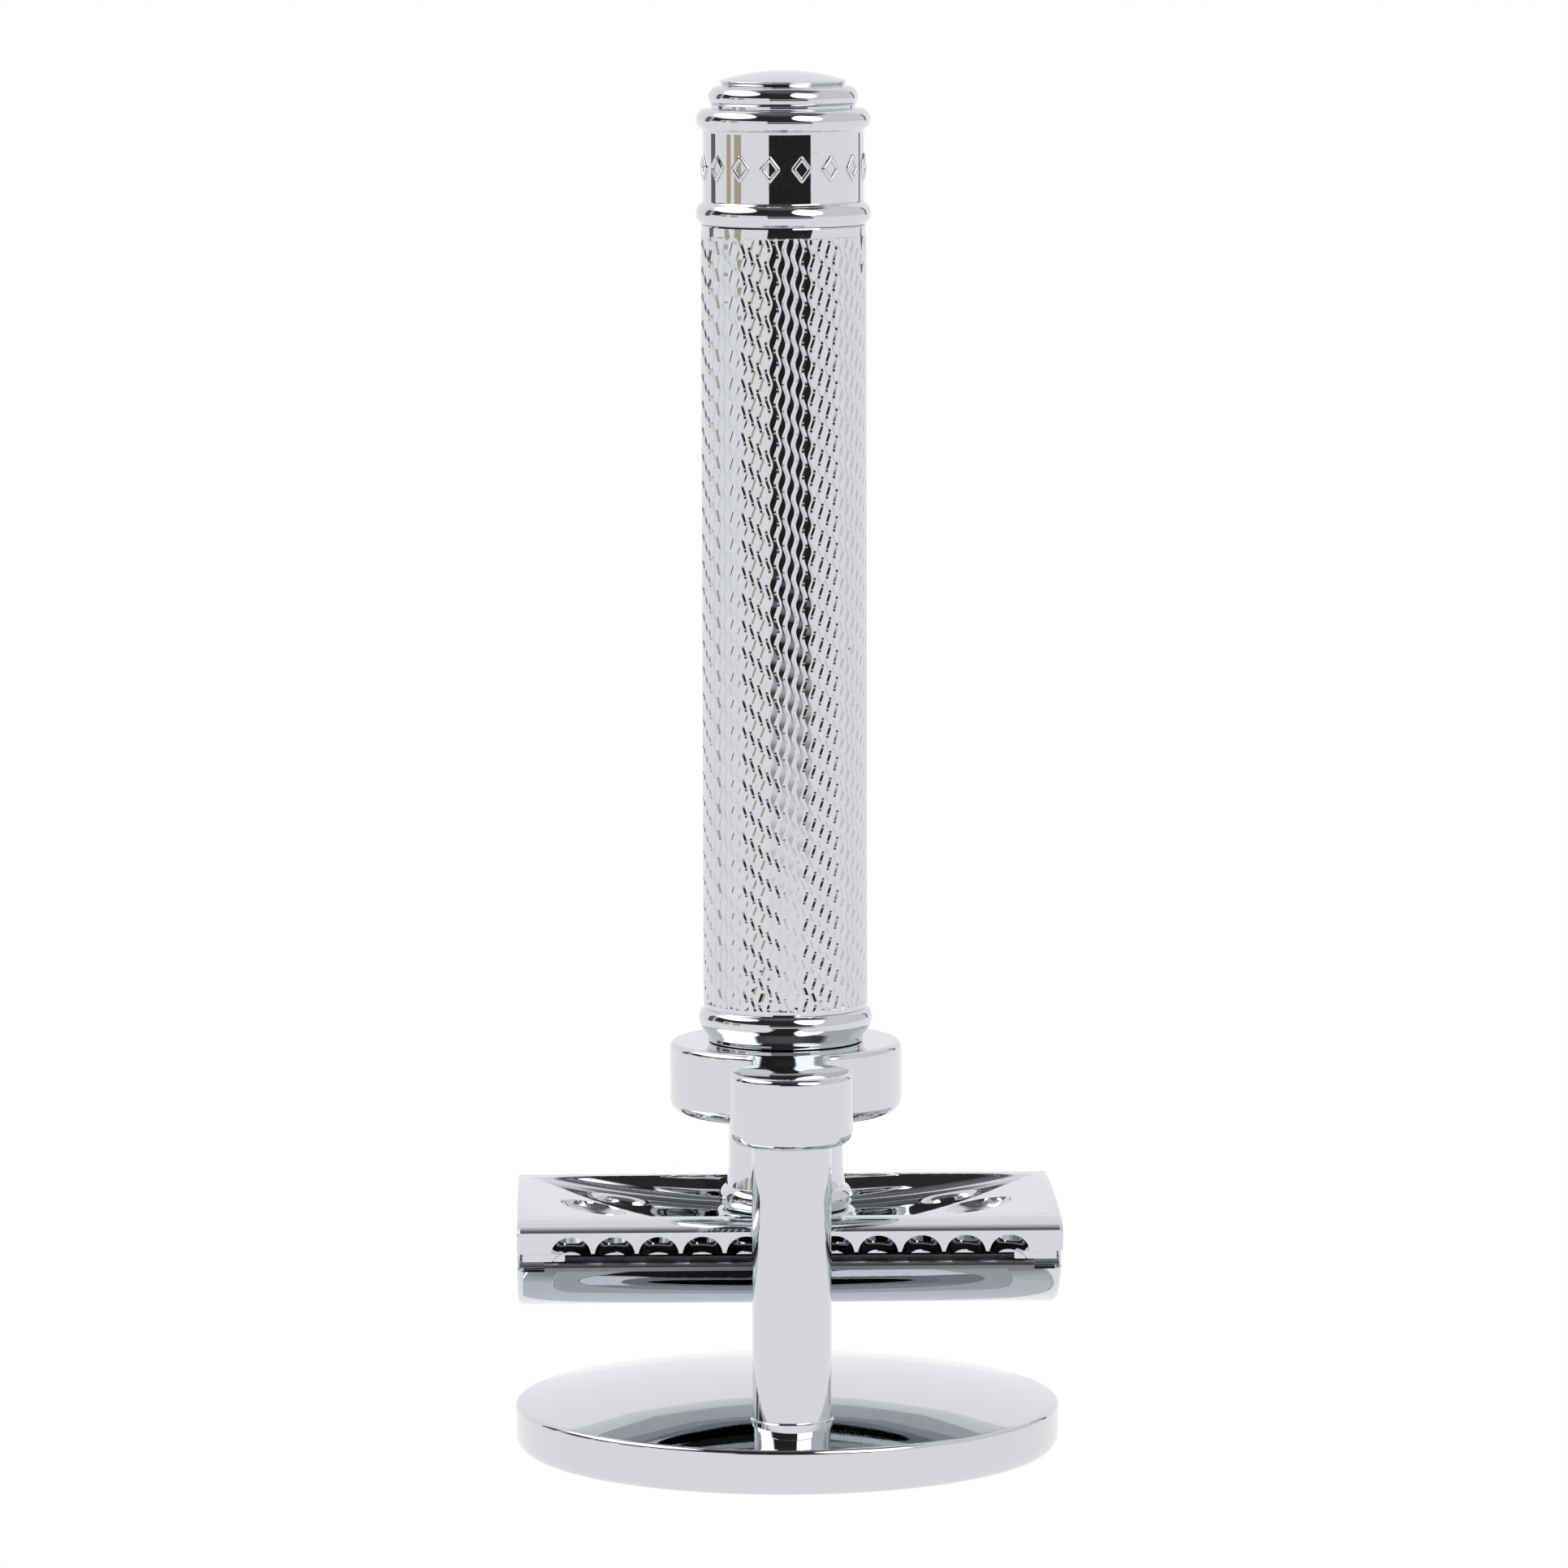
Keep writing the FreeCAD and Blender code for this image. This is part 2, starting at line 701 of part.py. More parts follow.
def make_scallops(guard):
    """Cuts the row of scallops in the lower outer edge of each bar."""
    slope = size("scallop_slope")
    for side, name in ((1, "far"), (-1, "near")):
        before = guard.Shape.Volume
        scoop = guard.newObject("PartDesign::SubtractiveCylinder", f"{name}_scallop")
        bind(scoop, "Radius", "scallop_radius")
        bind(scoop, "Height", "scallop_length")
        turn = FreeCAD.Rotation(FreeCAD.Vector(1, 0, 0), side * (90.0 + slope))
        scoop.Placement = FreeCAD.Placement(FreeCAD.Vector(0, 0, 0), turn)
        bind(scoop, "Placement.Base.x", "-scallop_pitch * (scallop_count - 1) / 2")
        bind(scoop, "Placement.Base.y", f"{side} * (guard_half_width + cos(scallop_slope * 1 deg))")
        bind(scoop, "Placement.Base.z", "scallop_height + sin(scallop_slope * 1 deg)")
        doc.recompute()
        row = guard.newObject("PartDesign::LinearPattern", f"{name}_scallops")
        row.Originals = [scoop]
        row.Direction = (origin_feature(guard, "X_Axis"), [""])
        bind(row, "Length", "scallop_pitch * (scallop_count - 1)")
        row.Occurrences = int(size("scallop_count"))
        guard.Tip = row
        doc.recompute()
        if guard.Shape.Volume > before - 1.0:
            raise RuntimeError(f"the {name} scallops remove nothing")


def make_neck():
    """The handle's lower fitting: bead, waist, shoulder on the fork, ring, and a spigot in the tube."""
    neck = new_body("neck", "razor_y")
    corners = [
        ("bush_radius", "neck_bottom"),
        ("neck_bottom_radius", "neck_bottom", "neck_bead_radius", "left"),
        ("neck_bead_top_radius", "neck_bead_top", "neck_cove_radius", "right"),
        ("neck_waist_radius", "neck_waist_start"),
        ("neck_waist_radius", "shoulder_height"),
        ("shoulder_radius", "shoulder_height"),
        ("shoulder_radius", "shoulder_land_top"),
        ("ring_bottom_radius", "ring_bottom", "ring_bulge_radius", "left"),
        ("ring_top_radius", "ring_top"),
        ("tube_radius", "tube_bottom"),
        ("spigot_radius", "tube_bottom"),
        ("spigot_radius", "neck_spigot_top"),
        ("rod_radius", "neck_spigot_top"),
        ("rod_radius", "neck_rod_hole_bottom"),
        ("0", "neck_rod_hole_bottom"),
        ("0", "bush_hole_end"),
        ("bush_radius", "bush_hole_end"),
    ]
    turned(neck, "neck_turning", corners)


def make_thread_bush():
    """The threaded bush in the neck, which runs on the cap's stud."""
    bush = new_body("thread_bush", "razor_y")
    corners = [
        ("thread_radius + thread_gap", "neck_bottom"),
        ("bush_radius", "neck_bottom"),
        ("bush_radius", "bush_end"),
        ("thread_radius + thread_gap", "bush_end"),
    ]
    turned(bush, "bush_turning", corners)


def make_handle_tube():
    tube = new_body("handle_tube", "razor_y")
    corners = [
        ("tube_bore_radius", "tube_bottom"),
        ("tube_radius", "tube_bottom"),
        ("tube_radius", "tube_top"),
        ("tube_bore_radius", "tube_top"),
    ]
    turned(tube, "tube_turning", corners)


def make_tie_rod():
    """The rod that pulls the neck and the end cap together against the tube's ends."""
    rod = new_body("tie_rod", "razor_y")
    corners = [
        ("0", "rod_bottom"),
        ("rod_radius - rod_chamfer", "rod_bottom"),
        ("rod_radius", "rod_bottom + rod_chamfer"),
        ("rod_radius", "rod_top - rod_chamfer"),
        ("rod_radius - rod_chamfer", "rod_top"),
        ("0", "rod_top"),
    ]
    turned(rod, "rod_turning", corners)


def make_end_cap():
    """The handle's end: two rings with a plain band between them, and a stepped button."""
    end = new_body("end_cap", "razor_y")
    corners = [
        ("rod_radius", "end_spigot_bottom"),
        ("spigot_radius", "end_spigot_bottom"),
        ("spigot_radius", "tube_top"),
        ("end_lower_ring_radius", "tube_top", "end_lower_ring_bulge", "left"),
        ("end_lower_ring_top_radius", "end_lower_ring_top"),
        ("band_radius", "band_bottom"),
        ("band_radius", "band_top"),
        ("end_lower_ring_top_radius", "end_upper_ring_bottom", "end_upper_ring_bulge", "left"),
        ("end_upper_ring_top_radius", "end_upper_ring_top"),
        ("end_step_radius", "end_upper_ring_top"),
        ("end_step_radius", "end_step_top", "end_small_ring_bulge", "left"),
        ("end_small_ring_top_radius", "end_small_ring_top"),
        ("button_radius", "button_edge", "button_dome_radius", "left"),
        (
            "0",
            "button_edge + button_dome_radius - sqrt(button_dome_radius ^ 2 - button_radius ^ 2)",
        ),
        ("0", "end_rod_hole_top"),
        ("rod_radius", "end_rod_hole_top"),
    ]
    turned(end, "end_turning", corners)


def check_objects():
    """Stops if any object of the document failed or any part isn't sound."""
    doc.recompute()
    for thing in doc.Objects:
        if "Invalid" in thing.State or "Error" in thing.State:
            raise RuntimeError(f"{thing.Name} failed: {thing.State}")
    for part in PARTS:
        if part.Shape.isNull() or not part.Shape.isValid():
            raise RuntimeError(f"{part.Label} has no sound shape")


def write_parts():
    os.makedirs("parts", exist_ok=True)
    for part in PARTS:
        part.Shape.exportStep(f"parts/{part.Label}.step")
        box = part.Shape.BoundBox
        print(
            f"{part.Label:14s} solids {len(part.Shape.Solids)} volume {part.Shape.Volume:9.2f} "
            f"x {box.XMin:.2f}..{box.XMax:.2f} y {box.YMin:.2f}..{box.YMax:.2f} "
            f"z {box.ZMin:.2f}..{box.ZMax:.2f}"
        )


make_base()
make_base_pad()
make_base_screw()
make_post()
make_fork_stud()
make_fork()
make_cap()
make_cap_stud()
make_locating_pins()
make_blade()
make_guard()
make_neck()
make_thread_bush()
make_handle_tube()
make_tie_rod()
make_end_cap()
check_objects()
write_parts()
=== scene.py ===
"""Looks of the razor stand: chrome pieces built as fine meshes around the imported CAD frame.

Lengths in this file are millimetres up to the point where a mesh is made, and metres after it.
"""

import math

import bmesh
import bpy
import numpy as np
from mathutils import Matrix, Vector, interpolate
from mathutils.bvhtree import BVHTree


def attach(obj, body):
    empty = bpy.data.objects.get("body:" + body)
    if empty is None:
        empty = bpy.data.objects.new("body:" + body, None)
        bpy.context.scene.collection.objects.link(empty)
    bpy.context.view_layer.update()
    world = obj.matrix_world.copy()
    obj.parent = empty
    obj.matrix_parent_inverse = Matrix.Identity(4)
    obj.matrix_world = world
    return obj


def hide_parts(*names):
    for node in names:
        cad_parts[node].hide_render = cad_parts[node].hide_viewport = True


MM = 0.001
AXIS_Y = 2.0  # the razor's axis
POST_Y = -14.2
SEGMENTS = 256
SHARP = math.radians(32)

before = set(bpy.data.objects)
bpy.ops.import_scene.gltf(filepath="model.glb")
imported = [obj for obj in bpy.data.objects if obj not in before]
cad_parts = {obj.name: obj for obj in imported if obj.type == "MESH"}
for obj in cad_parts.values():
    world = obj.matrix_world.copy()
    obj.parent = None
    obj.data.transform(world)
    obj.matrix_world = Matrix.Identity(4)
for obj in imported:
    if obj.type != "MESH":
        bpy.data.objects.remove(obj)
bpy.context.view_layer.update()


# ---------------------------------------------------------------- outlines


def arc(start, end, radius, side, step=math.radians(4)):
    """Points after start, up to end, on the arc whose centre lies on that side of the way."""
    start, end = np.array(start, float), np.array(end, float)
    chord = end - start
    length = np.hypot(*chord)
    left = np.array([-chord[1], chord[0]]) / length
    height = math.sqrt(max(radius**2 - length**2 / 4, 0.0))
    turn = 1 if side.startswith("left") else -1
    inward = turn if "long" not in side else -turn
    centre = (start + end) / 2 + left * height * inward
    first = math.atan2(*(start - centre)[::-1])
    last = math.atan2(*(end - centre)[::-1])
    sweep = (last - first) * turn % (2 * math.pi) * turn
    count = max(2, math.ceil(abs(sweep) / step))
    angles = first + sweep * np.arange(1, count + 1) / count
    return [centre + radius * np.array([math.cos(a), math.sin(a)]) for a in angles]


def walk(points, start, distance, forward, closed):
    """The point at a distance along the path from a corner, and the indices passed over."""
    count = len(points)
    here, passed, at = points[start], [], start
    while True:
        after = at + (1 if forward else -1)
        if not closed and not 0 <= after < count:
            return here, passed
        after %= count
        step = points[after] - here
        length = np.hypot(*step)
        if length > distance:
            return here + step * distance / length, passed
        distance -= length
        here, at = points[after], after
        passed.append(after)


def softened(points, corners, closed):
    """The path with each listed corner {index: radius} replaced by a small curve."""
    points = [np.array(p, float) for p in points]
    made = {}
    dropped = set()
    for index, radius in corners.items():
        before, lost = walk(points, index, radius, False, closed)
        after, more = walk(points, index, radius, True, closed)
        dropped.update(lost, more)
        corner = points[index]
        curve = []
        for t in np.linspace(0, 1, 7):
            curve.append((1 - t) ** 2 * before + 2 * t * (1 - t) * corner + t**2 * after)
        made[index] = curve
    out = []
    for index, point in enumerate(points):
        if index in made:
            out.extend(made[index])
        elif index not in dropped:
            out.append(point)
    return out


def path(corners, closed=False, step=math.radians(4)):
    """A dense path through (x, y, rounding[, arc radius, centre's side]) corners."""
    points, rounds = [], {}
    count = len(corners)
    for index, corner in enumerate(corners):
        if not points or np.hypot(*(np.array(corner[:2]) - points[-1])) > 1e-9:
            points.append(np.array(corner[:2], float))
        if corner[2]:
            rounds[len(points) - 1] = corner[2]
        if len(corner) > 3 and (closed or index + 1 < count):
            following = corners[(index + 1) % count]
            run = arc(corner[:2], following[:2], corner[3], corner[4], step)
            points.extend(run[:-1])
    return softened(points, rounds, closed)


# ---------------------------------------------------------------- meshes


def weighted(obj):
    modifier = obj.modifiers.new("weighted_normals", "WEIGHTED_NORMAL")
    modifier.keep_sharp = True
    modifier.weight = 80
    return modifier


def made(name, vertices, faces, sharp=SHARP):
    """A smooth-shaded mesh object from points in millimetres, with hard edges kept hard."""
    mesh = bpy.data.meshes.new(name)
    mesh.from_pydata((np.asarray(vertices, float) * MM).tolist(), [], faces)
    shape = bmesh.new()
    shape.from_mesh(mesh)
    bmesh.ops.remove_doubles(shape, verts=shape.verts, dist=1e-7)
    bmesh.ops.recalc_face_normals(shape, faces=shape.faces)
    for face in shape.faces:
        face.smooth = True
    for edge in shape.edges:
        edge.smooth = len(edge.link_faces) == 2 and edge.calc_face_angle(0.0) < sharp
    shape.to_mesh(mesh)
    shape.free()
    obj = bpy.data.objects.new(name, mesh)
    bpy.context.scene.collection.objects.link(obj)
    return obj


def skin(loops, ends=True, wrap=False):
    """Vertices and faces over a row of equal loops; wrap joins the last loop to the first."""
    loops = np.asarray(loops, float)
    rows, columns = loops.shape[:2]
    faces = []
    for row in range(rows if wrap else rows - 1):
        low, high = row * columns, (row + 1) % rows * columns
        for column in range(columns):
            after = (column + 1) % columns
            faces.append((low + column, low + after, high + after, high + column))
    if ends and not wrap:
        faces.append(tuple(range(columns))[::-1])
        faces.append(tuple((rows - 1) * columns + c for c in range(columns)))
    return loops.reshape(-1, 3), faces


def turned_loops(profile, y, x=0.0, segments=SEGMENTS):
    angles = np.linspace(0, 2 * math.pi, segments, endpoint=False)
    loops = []
    for radius, height in profile:
        radius = max(radius, 0.0)
        ring = np.stack(
            [
                x + radius * np.cos(angles),
                y + radius * np.sin(angles),
                np.full(segments, height),
            ],
            axis=1,
        )
        loops.append(ring)
    return loops


def turned(name, corners, y=AXIS_Y, x=0.0, segments=SEGMENTS):
    """A solid turned from a closed half section of (radius, height, rounding, ...) corners."""
    profile = path(corners)
    return made(name, *skin(turned_loops(profile, y, x, segments), ends=False))


def joined(name, parts):
    """One object holding the meshes of several."""
    shape = bmesh.new()
    for part in parts:
        shape.from_mesh(part.data)
    mesh = bpy.data.meshes.new(name)
    shape.to_mesh(mesh)
    shape.free()
    for part in parts:
        bpy.data.objects.remove(part)
    obj = bpy.data.objects.new(name, mesh)
    bpy.context.scene.collection.objects.link(obj)
    return obj


def uncrossed(points, moved, distance):
    """Draws together each run of moved points that came nearer to the outline than they should."""
    way = np.roll(points, -1, 0) - points
    length = np.maximum((way**2).sum(1), 1e-12)
    offset = moved[:, None, :] - points[None, :, :]
    share = np.clip((offset * way[None]).sum(2) / length, 0.0, 1.0)
    apart = offset - share[:, :, None] * way[None]
    gap = np.sqrt((apart**2).sum(2)).min(1)
    good = gap > distance * 0.97
    if good.all() or not good.any():
        return moved
    count = len(points)
    result = moved.copy()
    for index in np.nonzero(~good)[0]:
        before = next(i for i in range(1, count) if good[index - i])
        after = next(i for i in range(1, count) if good[(index + i) % count])
        result[index] = (moved[index - before] + moved[(index + after) % count]) / 2
    return result


def inset(points, distance):
    """A closed outline moved inwards, to the left of its way round."""
    points = np.asarray(points, float)
    ahead = np.roll(points, -1, 0) - points
    behind = points - np.roll(points, 1, 0)
    ahead /= np.maximum(np.hypot(*ahead.T), 1e-9)[:, None]
    behind /= np.maximum(np.hypot(*behind.T), 1e-9)[:, None]
    along = ahead + behind
    along /= np.hypot(*along.T)[:, None]
    left = np.stack([-along[:, 1], along[:, 0]], 1)
    lean = np.clip((along * ahead).sum(1), 0.5, 1.0)
    moved = points + left * (distance / lean)[:, None]
    return uncrossed(points, moved, distance)


def rounded_steps(low, high, low_round, high_round, count=8):
    """(position, inset) pairs for a run between two rounded ends."""
    steps = []
    for angle in np.linspace(0, math.pi / 2, count):
        steps.append((low + low_round * (1 - math.sin(angle)), low_round * (1 - math.cos(angle))))
    steps = steps[::-1] if steps[0][0] > steps[-1][0] else steps
    for angle in np.linspace(0, math.pi / 2, count):
        distance = high_round * (1 - math.cos(angle))
        steps.append((high - high_round * (1 - math.sin(angle)), distance))
    return steps


def corner_finder(mesh):
    """What gives the shading normal of a mesh at the point nearest to a place."""
    tree = BVHTree.FromPolygons(
        [v.co.copy() for v in mesh.vertices], [tuple(p.vertices) for p in mesh.polygons]
    )
    normals = [c.vector.copy() for c in mesh.corner_normals]
    places = [v.co.copy() for v in mesh.vertices]
    polygons = [(p.loop_start, tuple(p.vertices)) for p in mesh.polygons]

    def find(place):
        spot, _, index, _ = tree.find_nearest(place)
        start, corners = polygons[index]
        weights = interpolate.poly_3d_calc([places[v] for v in corners], spot)
        total = Vector((0, 0, 0))
        for offset, weight in enumerate(weights):
            total += normals[start + offset] * weight
        return total.normalized()

    return find


def combined(obj, tool, operation):
    """A boolean that keeps the shading of both surfaces."""
    for mesh in (obj.data, tool.data):
        mesh.transform(Matrix.Scale(1 / MM, 4))
        mesh.materials.clear()
        for index in range(2):
            mesh.materials.append(None)
    tool.data.polygons.foreach_set("material_index", [1] * len(tool.data.polygons))
    finders = [corner_finder(obj.data), corner_finder(tool.data)]
    modifier = obj.modifiers.new("boolean", "BOOLEAN")
    modifier.object = tool
    modifier.operation = operation
    modifier.solver = "FAST"
    modifier.material_mode = "INDEX"
    evaluated = obj.evaluated_get(bpy.context.evaluated_depsgraph_get())
    mesh = bpy.data.meshes.new_from_object(evaluated)
    obj.modifiers.clear()
    mesh.name = obj.data.name
    normals = []
    for polygon in mesh.polygons:
        find = finders[polygon.material_index]
        centre = polygon.center
        for loop in polygon.loop_indices:
            place = mesh.vertices[mesh.loops[loop].vertex_index].co
            normal = find(place.lerp(centre, 0.02))
            if normal.dot(polygon.normal) < 0:
                normal = -normal
            if normal.dot(polygon.normal) < 0.5:
                normal = polygon.normal.copy()
            normals.append(normal)
    mesh.polygons.foreach_set("material_index", [0] * len(mesh.polygons))
    mesh.polygons.foreach_set("use_smooth", [True] * len(mesh.polygons))
    mesh.normals_split_custom_set(normals)
    mesh.materials.clear()
    mesh.transform(Matrix.Scale(MM, 4))
    obj.data = mesh
    bpy.data.objects.remove(tool)
    return obj


# ---------------------------------------------------------------- materials


def shader(name, color, metallic, roughness):
    material = bpy.data.materials.new(name)
    material.use_nodes = True
    nodes, links = material.node_tree.nodes, material.node_tree.links
    surface = nodes["Principled BSDF"]
    surface.inputs["Base Color"].default_value = (*color, 1.0)
    surface.inputs["Metallic"].default_value = metallic
    surface.inputs["Roughness"].default_value = roughness
    place = nodes.new("ShaderNodeTexCoord").outputs["Object"]
    return material, nodes, links, surface, place


def noise(nodes, links, place, scale, detail=3.0, stretch=None):
    texture = nodes.new("ShaderNodeTexNoise")
    texture.inputs["Scale"].default_value = scale
    texture.inputs["Detail"].default_value = detail
    if stretch:
        mapping = nodes.new("ShaderNodeMapping")
        mapping.inputs["Scale"].default_value = stretch
        links.new(place, mapping.inputs["Vector"])
        place = mapping.outputs["Vector"]
    links.new(place, texture.inputs["Vector"])
    return texture.outputs["Fac"]


def mapped(nodes, links, value, source, target):
    node = nodes.new("ShaderNodeMapRange")
    node.inputs["From Min"].default_value, node.inputs["From Max"].default_value = source
    node.inputs["To Min"].default_value, node.inputs["To Max"].default_value = target
    links.new(value, node.inputs["Value"])
    return node.outputs["Result"]


def bumped(nodes, links, surface, height, distance, strength=1.0):
    node = nodes.new("ShaderNodeBump")
    node.inputs["Strength"].default_value = strength
    node.inputs["Distance"].default_value = distance
    links.new(height, node.inputs["Height"])
    links.new(node.outputs["Normal"], surface.inputs["Normal"])


def times(nodes, links, first, second):
    node = nodes.new("ShaderNodeMath")
    node.operation = "MULTIPLY"
    links.new(first, node.inputs[0])
    links.new(second, node.inputs[1])
    return node.outputs[0]


CHROME = (0.655, 0.668, 0.690)


def chrome(name, specks):
    """Mirror chrome with a faint ripple, faint wipe marks and a few small pits in the plating."""
    material, nodes, links, surface, place = shader(name, CHROME, 1.0, 0.03)
    haze = noise(nodes, links, place, 160.0, 4.0)
    links.new(mapped(nodes, links, haze, (0.35, 0.75), (0.015, 0.06)), surface.inputs["Roughness"])
    cells = nodes.new("ShaderNodeTexVoronoi")
    cells.inputs["Scale"].default_value = 420.0
    links.new(place, cells.inputs["Vector"])
    near = mapped(nodes, links, cells.outputs["Distance"], (0.035, 0.06), (1.0, 0.0))
    split = nodes.new("ShaderNodeSeparateColor")
    links.new(cells.outputs["Color"], split.inputs["Color"])
    limits = (1 - specks, 1 - specks + 0.002)
    chosen = mapped(nodes, links, split.outputs["Red"], limits, (0.0, 1.0))
    pit = times(nodes, links, near, chosen)
    mix = nodes.new("ShaderNodeMix")
    mix.data_type = "RGBA"
    mix.inputs[6].default_value = (*CHROME, 1.0)
    mix.inputs[7].default_value = (0.16, 0.15, 0.14, 1.0)
    links.new(pit, mix.inputs[0])
    links.new(mix.outputs[2], surface.inputs["Base Color"])
    ripple = noise(nodes, links, place, 90.0, 2.0)
    bumped(nodes, links, surface, ripple, 0.00001, 0.35)
    return material


def metal(name, color, roughness, stretch, depth):
    """Bare or thinly plated metal with turning or rolling lines."""
    material, nodes, links, surface, place = shader(name, color, 1.0, roughness)
    lines = noise(nodes, links, place, 1.0, 6.0, stretch)
    links.new(
        mapped(nodes, links, lines, (0.3, 0.7), (roughness * 0.7, roughness * 1.4)),
        surface.inputs["Roughness"],
    )
    ramp = nodes.new("ShaderNodeMix")
    ramp.data_type = "RGBA"
    ramp.inputs[6].default_value = (*[c * 0.86 for c in color], 1.0)
    ramp.inputs[7].default_value = (*[min(1.0, c * 1.1) for c in color], 1.0)
    links.new(lines, ramp.inputs[0])
    links.new(ramp.outputs[2], surface.inputs["Base Color"])
    bumped(nodes, links, surface, lines, depth, 0.6)
    return material


def rubber(name):
    material, nodes, links, surface, place = shader(name, (0.025, 0.025, 0.027), 0.0, 0.72)
    grain = noise(nodes, links, place, 2600.0, 5.0)
    links.new(mapped(nodes, links, grain, (0.3, 0.7), (0.6, 0.85)), surface.inputs["Roughness"])
    bumped(nodes, links, surface, grain, 0.00005, 0.5)
    return material


polished = chrome("polished_chrome", 0.035)
patterned = chrome("patterned_chrome", 0.02)
brass = metal("turned_brass", (0.78, 0.62, 0.34), 0.24, (120, 120, 9000), 0.000006)
zinc = metal("zinc_steel", (0.62, 0.63, 0.64), 0.34, (900, 900, 2500), 0.00001)
strip = metal("blade_steel", (0.34, 0.34, 0.35), 0.3, (60, 6000, 6000), 0.000003)
pad_rubber = rubber("black_rubber")


def place_piece(obj, material, body, slot, *nodes):
    obj.data.materials.clear()
    obj.data.materials.append(material)
    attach(obj, body)
    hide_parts(*nodes)
    return obj


# ---------------------------------------------------------------- stand

BASE_RADIUS, BASE_FOOT, BASE_RIM_TOP, BASE_TOP = 20.76, 0.25, 3.75, 6.047
BASE_TAPER = 0.06
DOME_RADIUS = 95.0
PAD_RADIUS, PAD_TOP = 18.5, 1.1
PAD_RECESS_RADIUS = 18.6
POST_RADIUS, POST_FOOT, POST_TOP = 2.97, 4.3, 26.6
POST_FILLET_RADIUS = 3.12
FORK_BOTTOM, FORK_TOP = 25.8, 31.25
FORK_DISC_RADIUS, SLOT_RADIUS, BRIDGE_HALF, FORK_BOSS_RADIUS = 8.84, 4.65, 2.75, 4.6
FORK_BOTTOM_ROUND, FORK_TOP_ROUND = 1.1, 0.45


def make_base():
    base = turned(
        "base_disc",
        [
            (0, PAD_TOP, 0),
            (PAD_RECESS_RADIUS, PAD_TOP, 0.08),
            (PAD_RECESS_RADIUS, BASE_FOOT, 0.15),
            (BASE_RADIUS - BASE_TAPER, BASE_FOOT, 1.2),
            (BASE_RADIUS, BASE_RIM_TOP, 0.35, DOME_RADIUS, "left"),
            (0, BASE_TOP, 0),
        ],
        y=0.0,
        segments=360,
    )
    weighted(base)
    place_piece(base, polished, "stand", "polished_chrome", "base")


def make_pad():
    """The rubber pad, with a shallow groove round its underside."""
    groove_inner, groove_outer, groove_depth = 15.2, 16.0, 0.25
    slant = 0.1
    pad = turned(
        "rubber_pad",
        [
            (0, PAD_TOP, 0),
            (0, 0, 0),
            (groove_inner, 0, 0.1),
            (groove_inner + slant, groove_depth, 0.1),
            (groove_outer - slant, groove_depth, 0.1),
            (groove_outer, 0, 0.1),
            (PAD_RADIUS, 0, 0.12),
            (PAD_RADIUS, PAD_TOP, 0.05),
            (0, PAD_TOP, 0),
        ],
        y=0.0,
        segments=192,
    )
    weighted(pad)
    place_piece(pad, pad_rubber, "stand", "black_rubber", "base_pad")


def make_post():
    """The post, with a small fillet where it meets the base."""
    post = turned(
        "stand_post",
        [
            (0, POST_FOOT, 0),
            (POST_FILLET_RADIUS, POST_FOOT, 0),
            (POST_FILLET_RADIUS, 4.98, 0.0, 0.2, "right"),
            (POST_RADIUS, 5.14, 0),
            (POST_RADIUS, POST_TOP, 0),
            (0, POST_TOP, 0),
        ],
        y=POST_Y,
        segments=192,
    )
    weighted(post)
    place_piece(post, polished, "stand", "polished_chrome", "post")


def make_fork():
    """A round lobe with an open slot, a narrow bridge, and a boss over the post."""
    tip_y = AXIS_Y + math.sqrt(FORK_DISC_RADIUS**2 - SLOT_RADIUS**2)
    disc_y = AXIS_Y - math.sqrt(FORK_DISC_RADIUS**2 - BRIDGE_HALF**2)
    boss_y = POST_Y + math.sqrt(FORK_BOSS_RADIUS**2 - BRIDGE_HALF**2)
    outline = path(
        [
            (SLOT_RADIUS, tip_y, 0.7),
            (SLOT_RADIUS, AXIS_Y, 0.0, SLOT_RADIUS, "right"),
            (-SLOT_RADIUS, AXIS_Y, 0.0),
            (-SLOT_RADIUS, tip_y, 0.7, FORK_DISC_RADIUS, "left"),
            (-BRIDGE_HALF, disc_y, 0.5),
            (-BRIDGE_HALF, boss_y, 0.5, FORK_BOSS_RADIUS, "left long"),
            (BRIDGE_HALF, boss_y, 0.5),
            (BRIDGE_HALF, disc_y, 0.5, FORK_DISC_RADIUS, "left"),
        ],
        closed=True,
        step=math.radians(2),
    )
    loops = []
    steps = rounded_steps(FORK_BOTTOM, FORK_TOP, FORK_BOTTOM_ROUND, FORK_TOP_ROUND)
    for height, distance in steps:
        loops.append([(px, py, height) for px, py in inset(outline, distance)])
    fork = made("slotted_fork", *skin(loops))
    weighted(fork)
    place_piece(fork, polished, "stand", "polished_chrome", "fork")


make_base()
make_pad()
make_post()
make_fork()


# ---------------------------------------------------------------- head

HEAD_END = 20.55  # half the head's length
PIN_X = 14.4
STUD_RADIUS, THREAD_PITCH = 2.5, 0.8
CAP_HALF_WIDTH, CAP_INNER_HALF_WIDTH = 10.3, 9.95
CAP_CROWN, CAP_OUTER_RADIUS, CAP_INNER_RADIUS, CAP_INNER_EDGE = 11.14, 15.1, 21.15, 15.45
CAP_END_ROUND = 0.45


